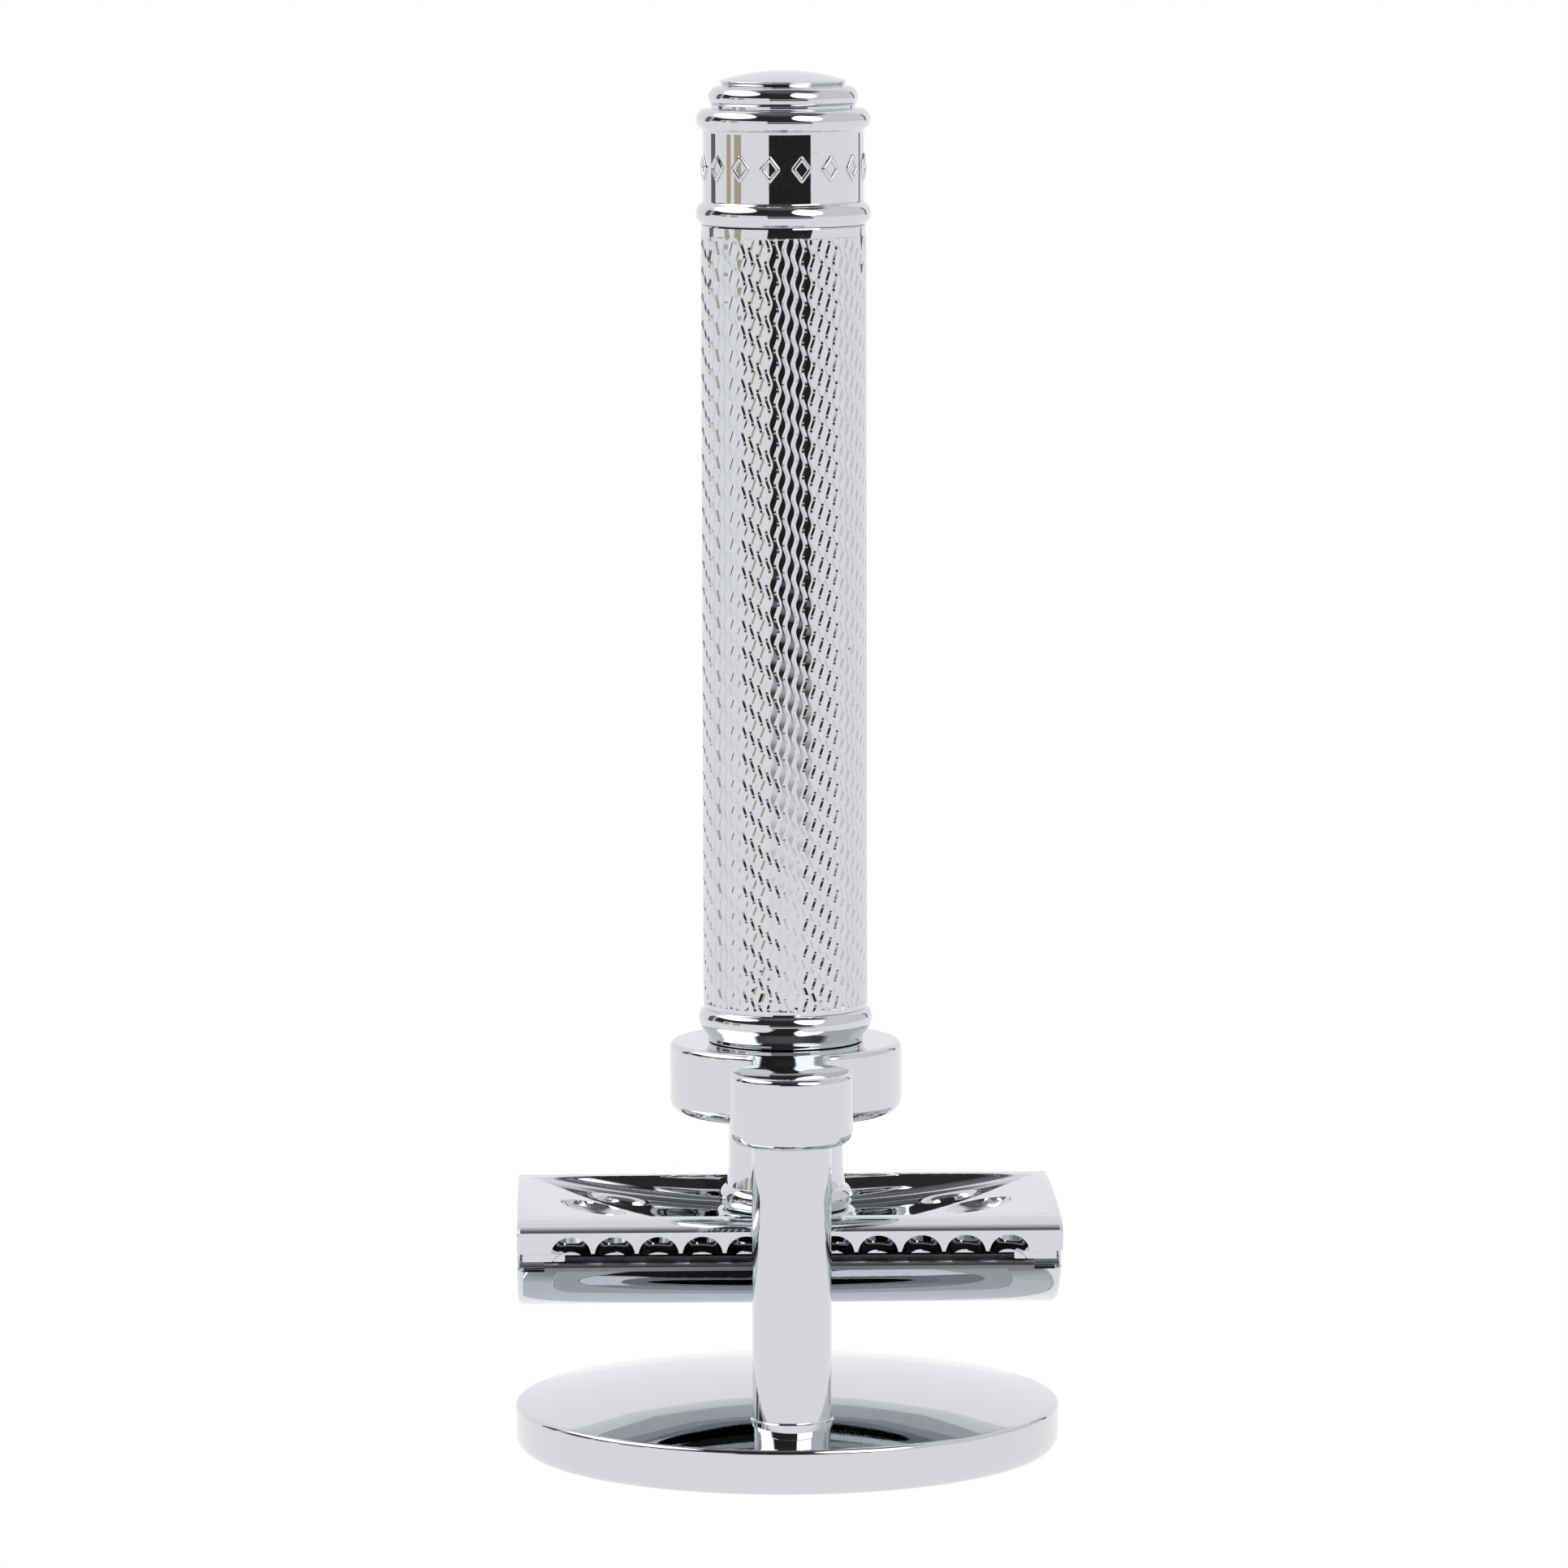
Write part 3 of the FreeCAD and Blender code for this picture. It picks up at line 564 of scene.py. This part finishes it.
def threaded(name, low, high, radius, pitch, depth, columns=48, rows_each=8):
    """A right-handed screw thread on the razor's axis, with tapered ends."""
    rows = int((high - low) / pitch * rows_each) + 1
    heights = np.linspace(low, high, rows)
    angles = np.linspace(0, 2 * math.pi, columns, endpoint=False)
    phase = (heights[:, None] / pitch - angles[None, :] / (2 * math.pi)) % 1.0
    groove = np.clip(1.6 * np.abs(phase * 2 - 1) - 0.3, 0, 1) * depth
    ends = np.minimum(heights - low, high - heights)[:, None]
    radii = np.minimum(radius - groove, radius - depth * 1.3 + np.clip(ends, 0, None))
    grid = np.stack(
        [
            radii * np.cos(angles)[None, :],
            AXIS_Y + radii * np.sin(angles)[None, :],
            np.repeat(heights[:, None], columns, axis=1),
        ],
        axis=2,
    )
    return made(name, *skin(grid), sharp=math.radians(60))


def cap_loops():
    """Sections of the cap from one end to the other."""
    across = np.linspace(-CAP_HALF_WIDTH, CAP_HALF_WIDTH, 65)
    outer = CAP_CROWN + CAP_OUTER_RADIUS - np.sqrt(CAP_OUTER_RADIUS**2 - across**2)
    inner_across = across * CAP_INNER_HALF_WIDTH / CAP_HALF_WIDTH
    edge_drop = np.sqrt(CAP_INNER_RADIUS**2 - CAP_INNER_HALF_WIDTH**2)
    inner = CAP_INNER_EDGE + edge_drop - np.sqrt(CAP_INNER_RADIUS**2 - inner_across**2)
    loops = []
    for x, distance in rounded_steps(-HEAD_END, HEAD_END, CAP_END_ROUND, CAP_END_ROUND):
        thick = np.maximum(inner - outer, 0.05)
        lower = outer + np.minimum(distance, thick * 0.7)
        narrow = 1 - distance * 0.25 / CAP_HALF_WIDTH
        bottom = [(x, AXIS_Y + a * narrow, z) for a, z in zip(across, lower)]
        top = [(x, AXIS_Y + a * narrow, z) for a, z in zip(inner_across[::-1], inner[::-1])]
        loops.append(bottom + top)
    return loops


def make_cap():
    cap = made("cap_plate", *skin(cap_loops()))
    weighted(cap)
    place_piece(cap, polished, "cap", "polished_chrome", "cap")


def make_stud():
    stud = threaded("cap_thread", 11.9, 28.6, STUD_RADIUS, THREAD_PITCH, depth=0.42)
    place_piece(stud, brass, "cap", "plated_brass", "cap_stud")


def make_pins():
    root, top, radius = 12.3, 16.8, 1.4
    profile = [(0, root, 0), (radius, root, 0), (radius, top, 0.35), (0, top, 0)]
    pins = []
    for side in (-1, 1):
        pins.append(turned(f"pin_{side}", profile, x=side * PIN_X, segments=64))
    pins = joined("pin_pair", pins)
    weighted(pins)
    place_piece(pins, polished, "cap", "polished_chrome", "locating_pins")


make_cap()
make_stud()
make_pins()


# ---------------------------------------------------------------- guard

FLOOR_LOW, FLOOR_RADIUS = 17.05, 83.0
COVE_START, COVE_RADIUS, COVE_END = 8.1, 1.3, 1.25
CREST_START, CREST_HEIGHT, CREST_RADIUS = 9.8, 19.25, 4.2
BAR_EDGE, BAR_TOP, BAR_FACE_RADIUS = 12.5, 18.5, 4.5
CROWN_HEIGHT, CROWN_CURVE = 19.58, 300.0
UNDER_CROWN, UNDER_RADIUS = 13.13, 21.0
CUT_LOW, CUT_HIGH = 10.0, 22.0  # from below the guard to above it
DRAIN_X, DRAIN_Y, DRAIN_HALF_LENGTH, DRAIN_RADIUS = 12.7, 5.95, 1.75, 1.32
DRAIN_SLANT, DRAIN_RIM = 0.153, 17.4
SCALLOP_COUNT, SCALLOP_PITCH = 11, 3.3
SCALLOP_HALF_WIDTH, SCALLOP_HALF_HEIGHT, SCALLOP_MIDDLE = 1.53, 1.3, 16.88
SCALLOP_SLOPE = math.tan(math.radians(35))
QUADRANTS = [(side_x, side_y) for side_x in (-1, 1) for side_y in (-1, 1)]


def circle_centre(start, end, radius):
    """The centre of the arc from start to end that has it on its left."""
    start, end = np.array(start), np.array(end)
    chord = end - start
    length = np.hypot(*chord)
    left = np.array([-chord[1], chord[0]]) / length
    return (start + end) / 2 + left * math.sqrt(radius**2 - length**2 / 4)


CREST_CENTRE = circle_centre((BAR_EDGE, BAR_TOP), (CREST_START, CREST_HEIGHT), CREST_RADIUS)


def crest_height(across):
    """The height of the guard before its floor is sunk: a crown that falls to the crease."""
    centre_y, centre_z = CREST_CENTRE
    crown = CROWN_HEIGHT - across**2 / CROWN_CURVE
    fall = centre_z + np.sqrt(np.maximum(CREST_RADIUS**2 - (across - centre_y) ** 2, 0.0))
    return np.where(across <= CREST_START, crown, fall)


def guard_top(x, across):
    """The guard's handle side: a floor that sags between two bars and rises to the ends."""
    across = np.abs(across)
    floor = FLOOR_LOW + FLOOR_RADIUS - math.sqrt(FLOOR_RADIUS**2 - x**2)
    run = across - COVE_START
    inside = np.clip(run, 0.0, COVE_END)
    cove = COVE_RADIUS - np.sqrt(COVE_RADIUS**2 - inside**2)
    slope = COVE_END / math.sqrt(COVE_RADIUS**2 - COVE_END**2)
    wall = floor + cove + np.maximum(run - COVE_END, 0.0) * slope
    crown = crest_height(across)
    blend = 0.16
    near = np.maximum(blend - np.abs(crown - wall), 0.0) / blend
    return np.minimum(crown, wall) - near**2 * blend / 4


def guard_section(x, ease=0.0):
    """A closed section, from mid-underside round the +Y side, drawn in by ease at the ends."""
    under = np.linspace(0, 9.0, 16)[:-1]
    half_under = []
    for y in under:
        rise = UNDER_RADIUS - math.sqrt(UNDER_RADIUS**2 - y**2)
        half_under.append((y, UNDER_CROWN + rise + ease))
    bar_bottom = (12.3, 16.9)
    side = path([(9.0, 15.156, 0.0), (9.6, 16.3, 0.15), (11.4, 16.75, 0.1), (*bar_bottom, 0.15)])
    side = [(p[0] - ease * max(0.0, (p[0] - 11.4) / 0.9), p[1] + ease) for p in side]
    face = arc(bar_bottom, (BAR_EDGE, BAR_TOP), BAR_FACE_RADIUS, "left")
    face = [(p[0] - ease, p[1] + ease * (17.7 - p[1]) / 0.8) for p in face[2:]]
    top_y = np.concatenate(
        [
            np.linspace(BAR_EDGE, 9.95, 14)[1:],
            np.linspace(9.9, 8.0, 42),
            np.linspace(7.7, 0, 12),
        ]
    )
    heights = guard_top(x, top_y) - ease
    top = [(y - ease * max(0.0, (y - 10.0) / 2.5), z) for y, z in zip(top_y, heights)]
    right = half_under + side + face + top
    left = [(-y, z) for y, z in right[-2:0:-1]]
    return right + left


def guard_plate():
    """The bowed plate with its sunk floor, before anything is added or cut."""
    ends = rounded_steps(-HEAD_END, HEAD_END, 0.25, 0.25, 5)
    inner_x = np.linspace(-HEAD_END + 0.35, HEAD_END - 0.35, 111)
    stations = ends[:5] + [(float(x), 0.0) for x in inner_x] + ends[5:]
    loops = []
    for x, distance in stations:
        loops.append([(x, AXIS_Y + y, z) for y, z in guard_section(x, distance)])
    return made("guard_plate", *skin(loops))


def guard_additions():
    """The boss under the handle, and a lug under each end of each bar."""
    boss_radius, boss_low, boss_top = 5.35, 16.2, 18.35
    profile = [
        (0, boss_low, 0),
        (boss_radius, boss_low, 0),
        (boss_radius, boss_top, 0.4),
        (0, boss_top, 0),
    ]
    parts = [turned("boss", profile, segments=128)]
    for side_x, side_y in QUADRANTS:
        low, high = sorted((side_x * 16.95, side_x * 20.15))
        near, far = sorted((side_y * 8.8, side_y * 10.6))
        block = path(
            [
                (low, AXIS_Y + near, 0.12),
                (high, AXIS_Y + near, 0.12),
                (high, AXIS_Y + far, 0.12),
                (low, AXIS_Y + far, 0.12),
            ],
            closed=True,
        )
        loops = []
        for height, distance in rounded_steps(15.98, 17.2, 0.1, 0.0, 4):
            loops.append([(px, py, height) for px, py in inset(block, distance)])
        parts.append(made("lug", *skin(loops)))
    return joined("guard_additions", parts)


def bore_cutter():
    radius = 2.6
    profile = [(0, CUT_LOW, 0), (radius, CUT_LOW, 0), (radius, CUT_HIGH, 0), (0, CUT_HIGH, 0)]
    return turned("bore", profile, segments=64)


def pin_hole_cutter(side):
    """A pin's hole, with a flared rim."""
    profile = [
        (0, CUT_LOW, 0),
        (1.48, CUT_LOW, 0),
        (1.48, 17.55, 0.25),
        (2.35, 18.05, 0.5),
        (2.9, 18.95, 0),
        (2.9, CUT_HIGH, 0),
        (0, CUT_HIGH, 0),
    ]
    return turned("pin_hole", profile, x=side * PIN_X, segments=96)


def stadium(x, y, half_length, radius, count=14):
    """An oval of two half circles, counter-clockwise."""
    reach = half_length - radius
    points = []
    for centre, start in ((reach, -math.pi / 2), (-reach, math.pi / 2)):
        for angle in np.linspace(start, start + math.pi, count):
            points.append((x + centre + radius * math.cos(angle), y + radius * math.sin(angle)))
    return points


def drain_cutter(side_x, side_y):
    """A drain's slot, with a rounded rim that follows the floor's slope."""
    rims = (
        (CUT_LOW, 0.0),
        (17.25, 0.0),
        (17.45, 0.03),
        (17.62, 0.1),
        (17.78, 0.22),
        (17.9, 0.38),
        (17.99, 0.58),
        (18.04, 0.8),
    )
    centre = (side_x * DRAIN_X, AXIS_Y + side_y * DRAIN_Y)
    loops = []
    for height, growth in rims:
        slant = DRAIN_SLANT if height > DRAIN_RIM else 0.0
        loop = []
        for px, py in stadium(*centre, DRAIN_HALF_LENGTH + growth, DRAIN_RADIUS + growth):
            loop.append((px, py, height + (px * side_x - DRAIN_X) * slant))
        loops.append(loop)
    loops.append([(px, py, CUT_HIGH) for px, py, _ in loops[-1]])
    return made("drain", *skin(loops))


def scallop_cutter(side, x):
    """A slanted oval bar that cuts one scallop in a bar's lower outer edge."""
    loops = []
    for y in (10.3, 11.5, 12.5, 14.5):
        middle = SCALLOP_MIDDLE + (y - BAR_EDGE) * SCALLOP_SLOPE
        ring = []
        for angle in np.linspace(0, 2 * math.pi, 40, endpoint=False):
            along = SCALLOP_HALF_WIDTH * math.cos(angle)
            up = SCALLOP_HALF_HEIGHT * math.sin(angle)
            ring.append((x + along, AXIS_Y + side * y, middle + up))
        loops.append(ring)
    return made("scallop", *skin(loops))


def guard_cutters():
    parts = [bore_cutter()]
    parts.extend(pin_hole_cutter(side) for side in (-1, 1))
    parts.extend(drain_cutter(side_x, side_y) for side_x, side_y in QUADRANTS)
    for side in (-1, 1):
        for index in range(SCALLOP_COUNT):
            x = (index - (SCALLOP_COUNT - 1) // 2) * SCALLOP_PITCH
            parts.append(scallop_cutter(side, x))
    return joined("guard_tools", parts)


def make_guard():
    guard = combined(guard_plate(), guard_additions(), "UNION")
    guard = combined(guard, guard_cutters(), "DIFFERENCE")
    place_piece(guard, polished, "guard", "polished_chrome", "guard")


make_guard()


# ---------------------------------------------------------------- handle

SPIGOT_RADIUS = 5.2
BUSH_RADIUS, ROD_RADIUS = 3.2, 2.0
WAIST_RADIUS = 4.36
TUBE_LOW, TUBE_HIGH, TUBE_RADIUS, TUBE_BORE = 33.9, 93.5, 6.25, 5.25
BAND_RADIUS, BAND_LOW, BAND_HIGH = 6.11, 95.3, 100.5
BUTTON_TOP = 105.11
MARK_COUNT, MARK_FIRST_TURN = 16, -101


def make_neck():
    """The lower fitting: bead, cove, waist, shoulder on the fork, ring, and a spigot in the tube."""
    neck = turned(
        "handle_neck",
        [
            (BUSH_RADIUS, 18.4, 0),
            (4.7, 18.4, 0.1, 1.05, "left"),
            (4.55, 20.15, 0.06, 12.5, "right"),
            (WAIST_RADIUS, 22.7, 0),
            (WAIST_RADIUS, 31.3, 0.1),
            (5.92, 31.3, 0.12),
            (5.92, 31.66, 0.1),
            (6.4, 32.35, 0.05, 1.24, "left"),
            (6.46, 33.67, 0.1),
            (6.2, 33.88, 0.02),
            (SPIGOT_RADIUS, TUBE_LOW, 0),
            (SPIGOT_RADIUS, 41.9, 0),
            (BUSH_RADIUS, 41.9, 0),
            (BUSH_RADIUS, 18.4, 0),
        ],
    )
    weighted(neck)
    place_piece(neck, polished, "handle", "polished_chrome", "neck")


def grip_surface():
    """Rings of the tube: sixty wavy V grooves round it, each a quarter wave below the last."""
    grooves, period, sway, depth, width = 60, 2.02, 0.13, 0.068, 0.37
    edge_drop = 0.03
    first, last = TUBE_LOW + 0.35, TUBE_HIGH - 0.75
    pitch = 2 * math.pi / grooves
    edge = [TUBE_LOW, TUBE_LOW + 0.12]
    near_low = first + np.array([0.0, 0.02, 0.06, 0.12, 0.2])
    near_high = last - np.array([0.2, 0.12, 0.06, 0.02, 0.0])
    middle = np.linspace(first + 0.3, last - 0.3, 462)
    heights = np.concatenate([edge, near_low, middle, near_high, [TUBE_HIGH - 0.1, TUBE_HIGH]])
    groove = np.repeat(np.arange(grooves), 3)
    across = np.tile([-width / 2, 0.0, width / 2], grooves)
    valley = np.tile([0.0, 1.0, 0.0], grooves)
    wave = np.sin(2 * math.pi * (heights[:, None] / period + groove[None, :] * 0.25))
    ends = np.clip(np.minimum(heights - first, last - heights) / 0.22, 0.0, 1.0)
    fade = np.sqrt(1 - (1 - ends) ** 2)
    shifts = wave * sway + across[None, :] * (0.15 + 0.85 * fade[:, None])
    angles = groove[None, :] * pitch + shifts / TUBE_RADIUS
    radii = TUBE_RADIUS - depth * valley[None, :] * fade[:, None]
    radii[0] -= edge_drop
    radii[-1] -= edge_drop
    outer = np.stack(
        [
            radii * np.cos(angles),
            AXIS_Y + radii * np.sin(angles),
            np.repeat(heights[:, None], len(groove), axis=1),
        ],
        axis=2,
    )
    inner = []
    for height, like in ((TUBE_HIGH, outer[-1]), (TUBE_LOW, outer[0])):
        ring = np.array(like)
        ring[:, 0] *= TUBE_BORE / TUBE_RADIUS
        ring[:, 1] = AXIS_Y + (ring[:, 1] - AXIS_Y) * TUBE_BORE / TUBE_RADIUS
        ring[:, 2] = height
        inner.append(ring)
    return np.concatenate([outer, np.array(inner)])


def make_tube():
    tube = made("grip_tube", *skin(grip_surface(), wrap=True), sharp=math.radians(13))
    place_piece(tube, patterned, "handle", "patterned_chrome", "handle_tube")


def make_end_cap():
    """The upper fitting: a spigot in the tube, two rings with the band between, and the button."""
    end_cap = turned(
        "handle_end",
        [
            (ROD_RADIUS, 85.5, 0),
            (SPIGOT_RADIUS, 85.5, 0.3),
            (SPIGOT_RADIUS, TUBE_HIGH, 0),
            (6.2, 93.52, 0.02),
            (6.3, 93.6, 0.02, 1.0, "left"),
            (6.15, 95.2, 0.05),
            (BAND_RADIUS, BAND_LOW, 0.03),
            (BAND_RADIUS, BAND_HIGH, 0.03),
            (6.15, 100.65, 0.05, 0.886, "left"),
            (5.6, 102.3, 0.05),
            (5.47, 102.3, 0.02),
            (5.47, 102.55, 0.02, 0.869, "left"),
            (4.65, 103.95, 0.05),
            (4.66, 104.05, 0.05),
            (4.81, 104.35, 0.12, 15.6, "left"),
            (0, BUTTON_TOP, 0),
            (0, 98.2, 0),
            (ROD_RADIUS, 98.2, 0),
            (ROD_RADIUS, 85.5, 0),
        ],
    )
    weighted(end_cap)
    place_piece(end_cap, polished, "handle", "polished_chrome", "end_cap")


def band_mark(turn, outline, rises):
    """A small raised shape on the band: outline in (across, up), rises as (height, scale)."""
    loops = []
    for rise, scale in rises:
        radius = BAND_RADIUS + rise
        loop = []
        for across, up in outline:
            angle = turn + across * scale / BAND_RADIUS
            height = (BAND_LOW + BAND_HIGH) / 2 + up * scale
            loop.append((radius * math.cos(angle), AXIS_Y + radius * math.sin(angle), height))
        loops.append(loop)
    return made("mark", *skin(loops), sharp=math.radians(70))


def make_marks():
    """A row of plain lozenge rings round the band, in place of the maker's lettering."""
    half_width, half_height, soft = 0.85, 1.1, 0.2
    lozenge = path(
        [(0, -half_height, soft), (half_width, 0, soft), (0, half_height, soft), (-half_width, 0, soft)],
        closed=True,
    )
    rises = [
        (-0.1, 1.0),
        (0.08, 1.0),
        (0.15, 0.9),
        (0.17, 0.76),
        (0.15, 0.62),
        (0.08, 0.52),
        (-0.1, 0.52),
    ]
    marks = []
    for index in range(MARK_COUNT):
        turn = math.radians(index * 360 / MARK_COUNT + MARK_FIRST_TURN)
        marks.append(band_mark(turn, lozenge, rises))
    marks = joined("band_marks", marks)
    weighted(marks)
    marks.data.materials.append(polished)
    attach(marks, "handle")


def paint_kept_nodes():
    """Gives a material to the CAD pieces that are shown as they are."""
    for node, material in (
        ("base_screw", zinc),
        ("fork_stud", zinc),
        ("tie_rod", zinc),
        ("thread_bush", brass),
        ("blade", strip),
    ):
        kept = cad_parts[node]
        kept.data.materials.clear()
        kept.data.materials.append(material)


make_neck()
make_tube()
make_end_cap()
make_marks()
paint_kept_nodes()


# ---------------------------------------------------------------- stage and light


def emission(name, color):
    material = bpy.data.materials.new(name)
    material.use_nodes = True
    nodes, links = material.node_tree.nodes, material.node_tree.links
    nodes.clear()
    glow = nodes.new("ShaderNodeEmission")
    glow.inputs["Color"].default_value = (*color, 1.0)
    glow.inputs["Strength"].default_value = 1.0
    out = nodes.new("ShaderNodeOutputMaterial")
    links.new(glow.outputs[0], out.inputs["Surface"])
    return material


def sheet(name, corners, material, hidden=True):
    mesh = bpy.data.meshes.new(name)
    mesh.from_pydata(corners, [], [tuple(range(len(corners)))])
    obj = bpy.data.objects.new(name, mesh)
    bpy.context.scene.collection.objects.link(obj)
    mesh.materials.append(material)
    if hidden:
        obj.visible_camera = False
        obj.visible_shadow = False
    return obj


FLOOR_HALF = 8
sheet(
    "floor",
    [(x * FLOOR_HALF, y * FLOOR_HALF, 0) for x, y in ((-1, -1), (1, -1), (1, 1), (-1, 1))],
    emission("floor_white", (1, 1, 1)),
    hidden=False,
)


def at(azimuth, distance, height):
    """A place round the razor: azimuth 0 is towards the photograph's camera, 90 is +X."""
    a = math.radians(azimuth)
    return (distance * math.sin(a), -distance * math.cos(a), height)


def faded_black():
    """Black that comes in over a stretch of the table, by distance from the stand."""
    material = bpy.data.materials.new("table_edge")
    material.use_nodes = True
    nodes, links = material.node_tree.nodes, material.node_tree.links
    nodes.clear()
    place = nodes.new("ShaderNodeTexCoord")
    length = nodes.new("ShaderNodeVectorMath")
    length.operation = "LENGTH"
    links.new(place.outputs["Object"], length.inputs[0])
    share = mapped(nodes, links, length.outputs["Value"], (0.33, 0.62), (0.0, 1.0))
    clear = nodes.new("ShaderNodeBsdfTransparent")
    dark = nodes.new("ShaderNodeEmission")
    dark.inputs["Color"].default_value = (0.02, 0.017, 0.017, 1.0)
    mix = nodes.new("ShaderNodeMixShader")
    out = nodes.new("ShaderNodeOutputMaterial")
    links.new(share, mix.inputs["Fac"])
    links.new(clear.outputs[0], mix.inputs[1])
    links.new(dark.outputs[0], mix.inputs[2])
    links.new(mix.outputs[0], out.inputs["Surface"])
    return material


sheet(
    "table_edge",
    [at(-22, 0.3, 0.001), at(8, 0.3, 0.001), at(38, 0.3, 0.001)]
    + [at(38, 4.2, 0.001), at(8, 4.2, 0.001), at(-22, 4.2, 0.001)],
    faded_black(),
)

brown = emission("stripe_brown", (0.54, 0.45, 0.33))
grey = emission("stripe_grey", (0.16, 0.16, 0.17))
for name, first, last, height, material in (
    ("stripe_a", -90, -82, 0.34, brown),
    ("stripe_b", -76, -64, 0.34, brown),
    ("strip_left", -127, -115, 0.7, grey),
    ("strip_right", 135, 140, 0.7, grey),
):
    sheet(
        name,
        [at(first, 1.5, 0.0), at(last, 1.5, 0.0), at(last, 1.5, height), at(first, 1.5, height)],
        material,
    )


def room():
    """The studio above the table: dark in front, light behind, with two soft lights."""
    material = bpy.data.materials.new("room_light")
    material.use_nodes = True
    nodes, links = material.node_tree.nodes, material.node_tree.links
    nodes.clear()

    def math_node(operation, first, second=None):
        node = nodes.new("ShaderNodeMath")
        node.operation = operation
        for socket, value in ((0, first), (1, second)):
            if value is None:
                continue
            if isinstance(value, (int, float)):
                node.inputs[socket].default_value = value
            else:
                links.new(value, node.inputs[socket])
        return node.outputs[0]

    place = nodes.new("ShaderNodeTexCoord")
    unit = nodes.new("ShaderNodeVectorMath")
    unit.operation = "NORMALIZE"
    links.new(place.outputs["Object"], unit.inputs[0])
    parts = nodes.new("ShaderNodeSeparateXYZ")
    links.new(unit.outputs["Vector"], parts.inputs[0])
    forward = math_node("MULTIPLY", parts.outputs["Y"], -1.0)
    turn = math_node("ARCTAN2", parts.outputs["X"], forward)
    azimuth = math_node("MULTIPLY", turn, 180 / math.pi)
    height = math_node("MULTIPLY", math_node("ARCSINE", parts.outputs["Z"]), 180 / math.pi)

    def box(az_low, az_high, el_low, el_high, soft):
        value = None
        for source, low, high in ((azimuth, az_low, az_high), (height, el_low, el_high)):
            rise = mapped(nodes, links, source, (low - soft, low + soft), (0.0, 1.0))
            fall = mapped(nodes, links, source, (high - soft, high + soft), (1.0, 0.0))
            both = times(nodes, links, rise, fall)
            value = both if value is None else times(nodes, links, value, both)
        return value

    def oval(az, el, half_az, half_el, soft):
        across = math_node("DIVIDE", math_node("SUBTRACT", azimuth, az), half_az)
        up = math_node("DIVIDE", math_node("SUBTRACT", height, el), half_el)
        square = math_node("ADD", math_node("POWER", math_node("ABSOLUTE", across), 2.0),
                           math_node("POWER", math_node("ABSOLUTE", up), 2.0))
        return mapped(nodes, links, square, (1 - soft, 1 + soft), (1.0, 0.0))

    color = None
    layers = [
        (box(-400, 400, -90, 200, 1), (0.95, 0.95, 0.97)),  # light behind and beside
        (box(-112, 60, 3, 200, 4), (0.035, 0.03, 0.03)),  # dark over the front
        (box(55, 112, 58, 200, 5), (0.035, 0.03, 0.03)),
        (box(-400, 400, 66, 200, 8), (0.14, 0.14, 0.16)),
        (box(35, 136, -90, 58, 2), (0.80, 0.80, 0.83)),  # light wall, right
        (box(-92, -23, -90, 13, 1.5), (0.92, 0.93, 0.96)),  # light wall, left
        (box(-90, -82, -90, 11, 0.7), (0.54, 0.45, 0.33)),
        (box(-76, -64, -90, 11, 0.7), (0.54, 0.45, 0.33)),
        (oval(35, 40, 23, 26, 0.12), (2.6, 2.6, 2.6)),
        (oval(-92, 46, 44, 20, 0.12), (2.4, 2.4, 2.45)),
    ]
    for mask, tint in layers:
        mix = nodes.new("ShaderNodeMix")
        mix.data_type = "RGBA"
        mix.clamp_result = False
        if color is None:
            mix.inputs[6].default_value = (*tint, 1.0)
        else:
            links.new(color, mix.inputs[6])
        mix.inputs[7].default_value = (*tint, 1.0)
        links.new(mask, mix.inputs[0])
        color = mix.outputs[2]
    glow = nodes.new("ShaderNodeEmission")
    links.new(color, glow.inputs["Color"])
    out = nodes.new("ShaderNodeOutputMaterial")
    links.new(glow.outputs[0], out.inputs["Surface"])

    shape = bmesh.new()
    bmesh.ops.create_uvsphere(shape, u_segments=64, v_segments=32, radius=4.0)
    for vertex in shape.verts:
        vertex.co.z = max(vertex.co.z, -0.05)
    mesh = bpy.data.meshes.new("room")
    shape.to_mesh(mesh)
    shape.free()
    obj = bpy.data.objects.new("room", mesh)
    bpy.context.scene.collection.objects.link(obj)
    mesh.materials.append(material)
    obj.visible_camera = False
    obj.visible_shadow = False


room()

scene = bpy.context.scene
world = bpy.data.worlds.new("studio")
scene.world = world
world.use_nodes = True
world.node_tree.nodes["Background"].inputs["Color"].default_value = (1.0, 1.0, 1.0, 1.0)
world.node_tree.nodes["Background"].inputs["Strength"].default_value = 1.0
scene.view_settings.view_transform = "Standard"

# ---------------------------------------------------------------- camera

CAMERA_TARGET = Vector((-0.00012, 0.0, 0.05115))
CAMERA_DISTANCE = 0.685
CAMERA_LIFT = math.radians(6.8)
CAMERA_TURN = math.radians(-1.5)
CAMERA_ROLL = math.radians(-0.15)
camera_data = bpy.data.cameras.new("camera")
camera_data.lens = 207.3
camera_data.sensor_width = 36.0
camera_data.clip_end = 50.0
camera = bpy.data.objects.new("camera", camera_data)
scene.collection.objects.link(camera)
toward = Vector(
    (
        math.sin(CAMERA_TURN) * math.cos(CAMERA_LIFT),
        -math.cos(CAMERA_TURN) * math.cos(CAMERA_LIFT),
        math.sin(CAMERA_LIFT),
    )
)
camera.location = CAMERA_TARGET + toward * CAMERA_DISTANCE
facing = (-toward).to_track_quat("-Z", "Y").to_matrix() @ Matrix.Rotation(CAMERA_ROLL, 3, "Z")
camera.rotation_euler = facing.to_euler()
scene.camera = camera
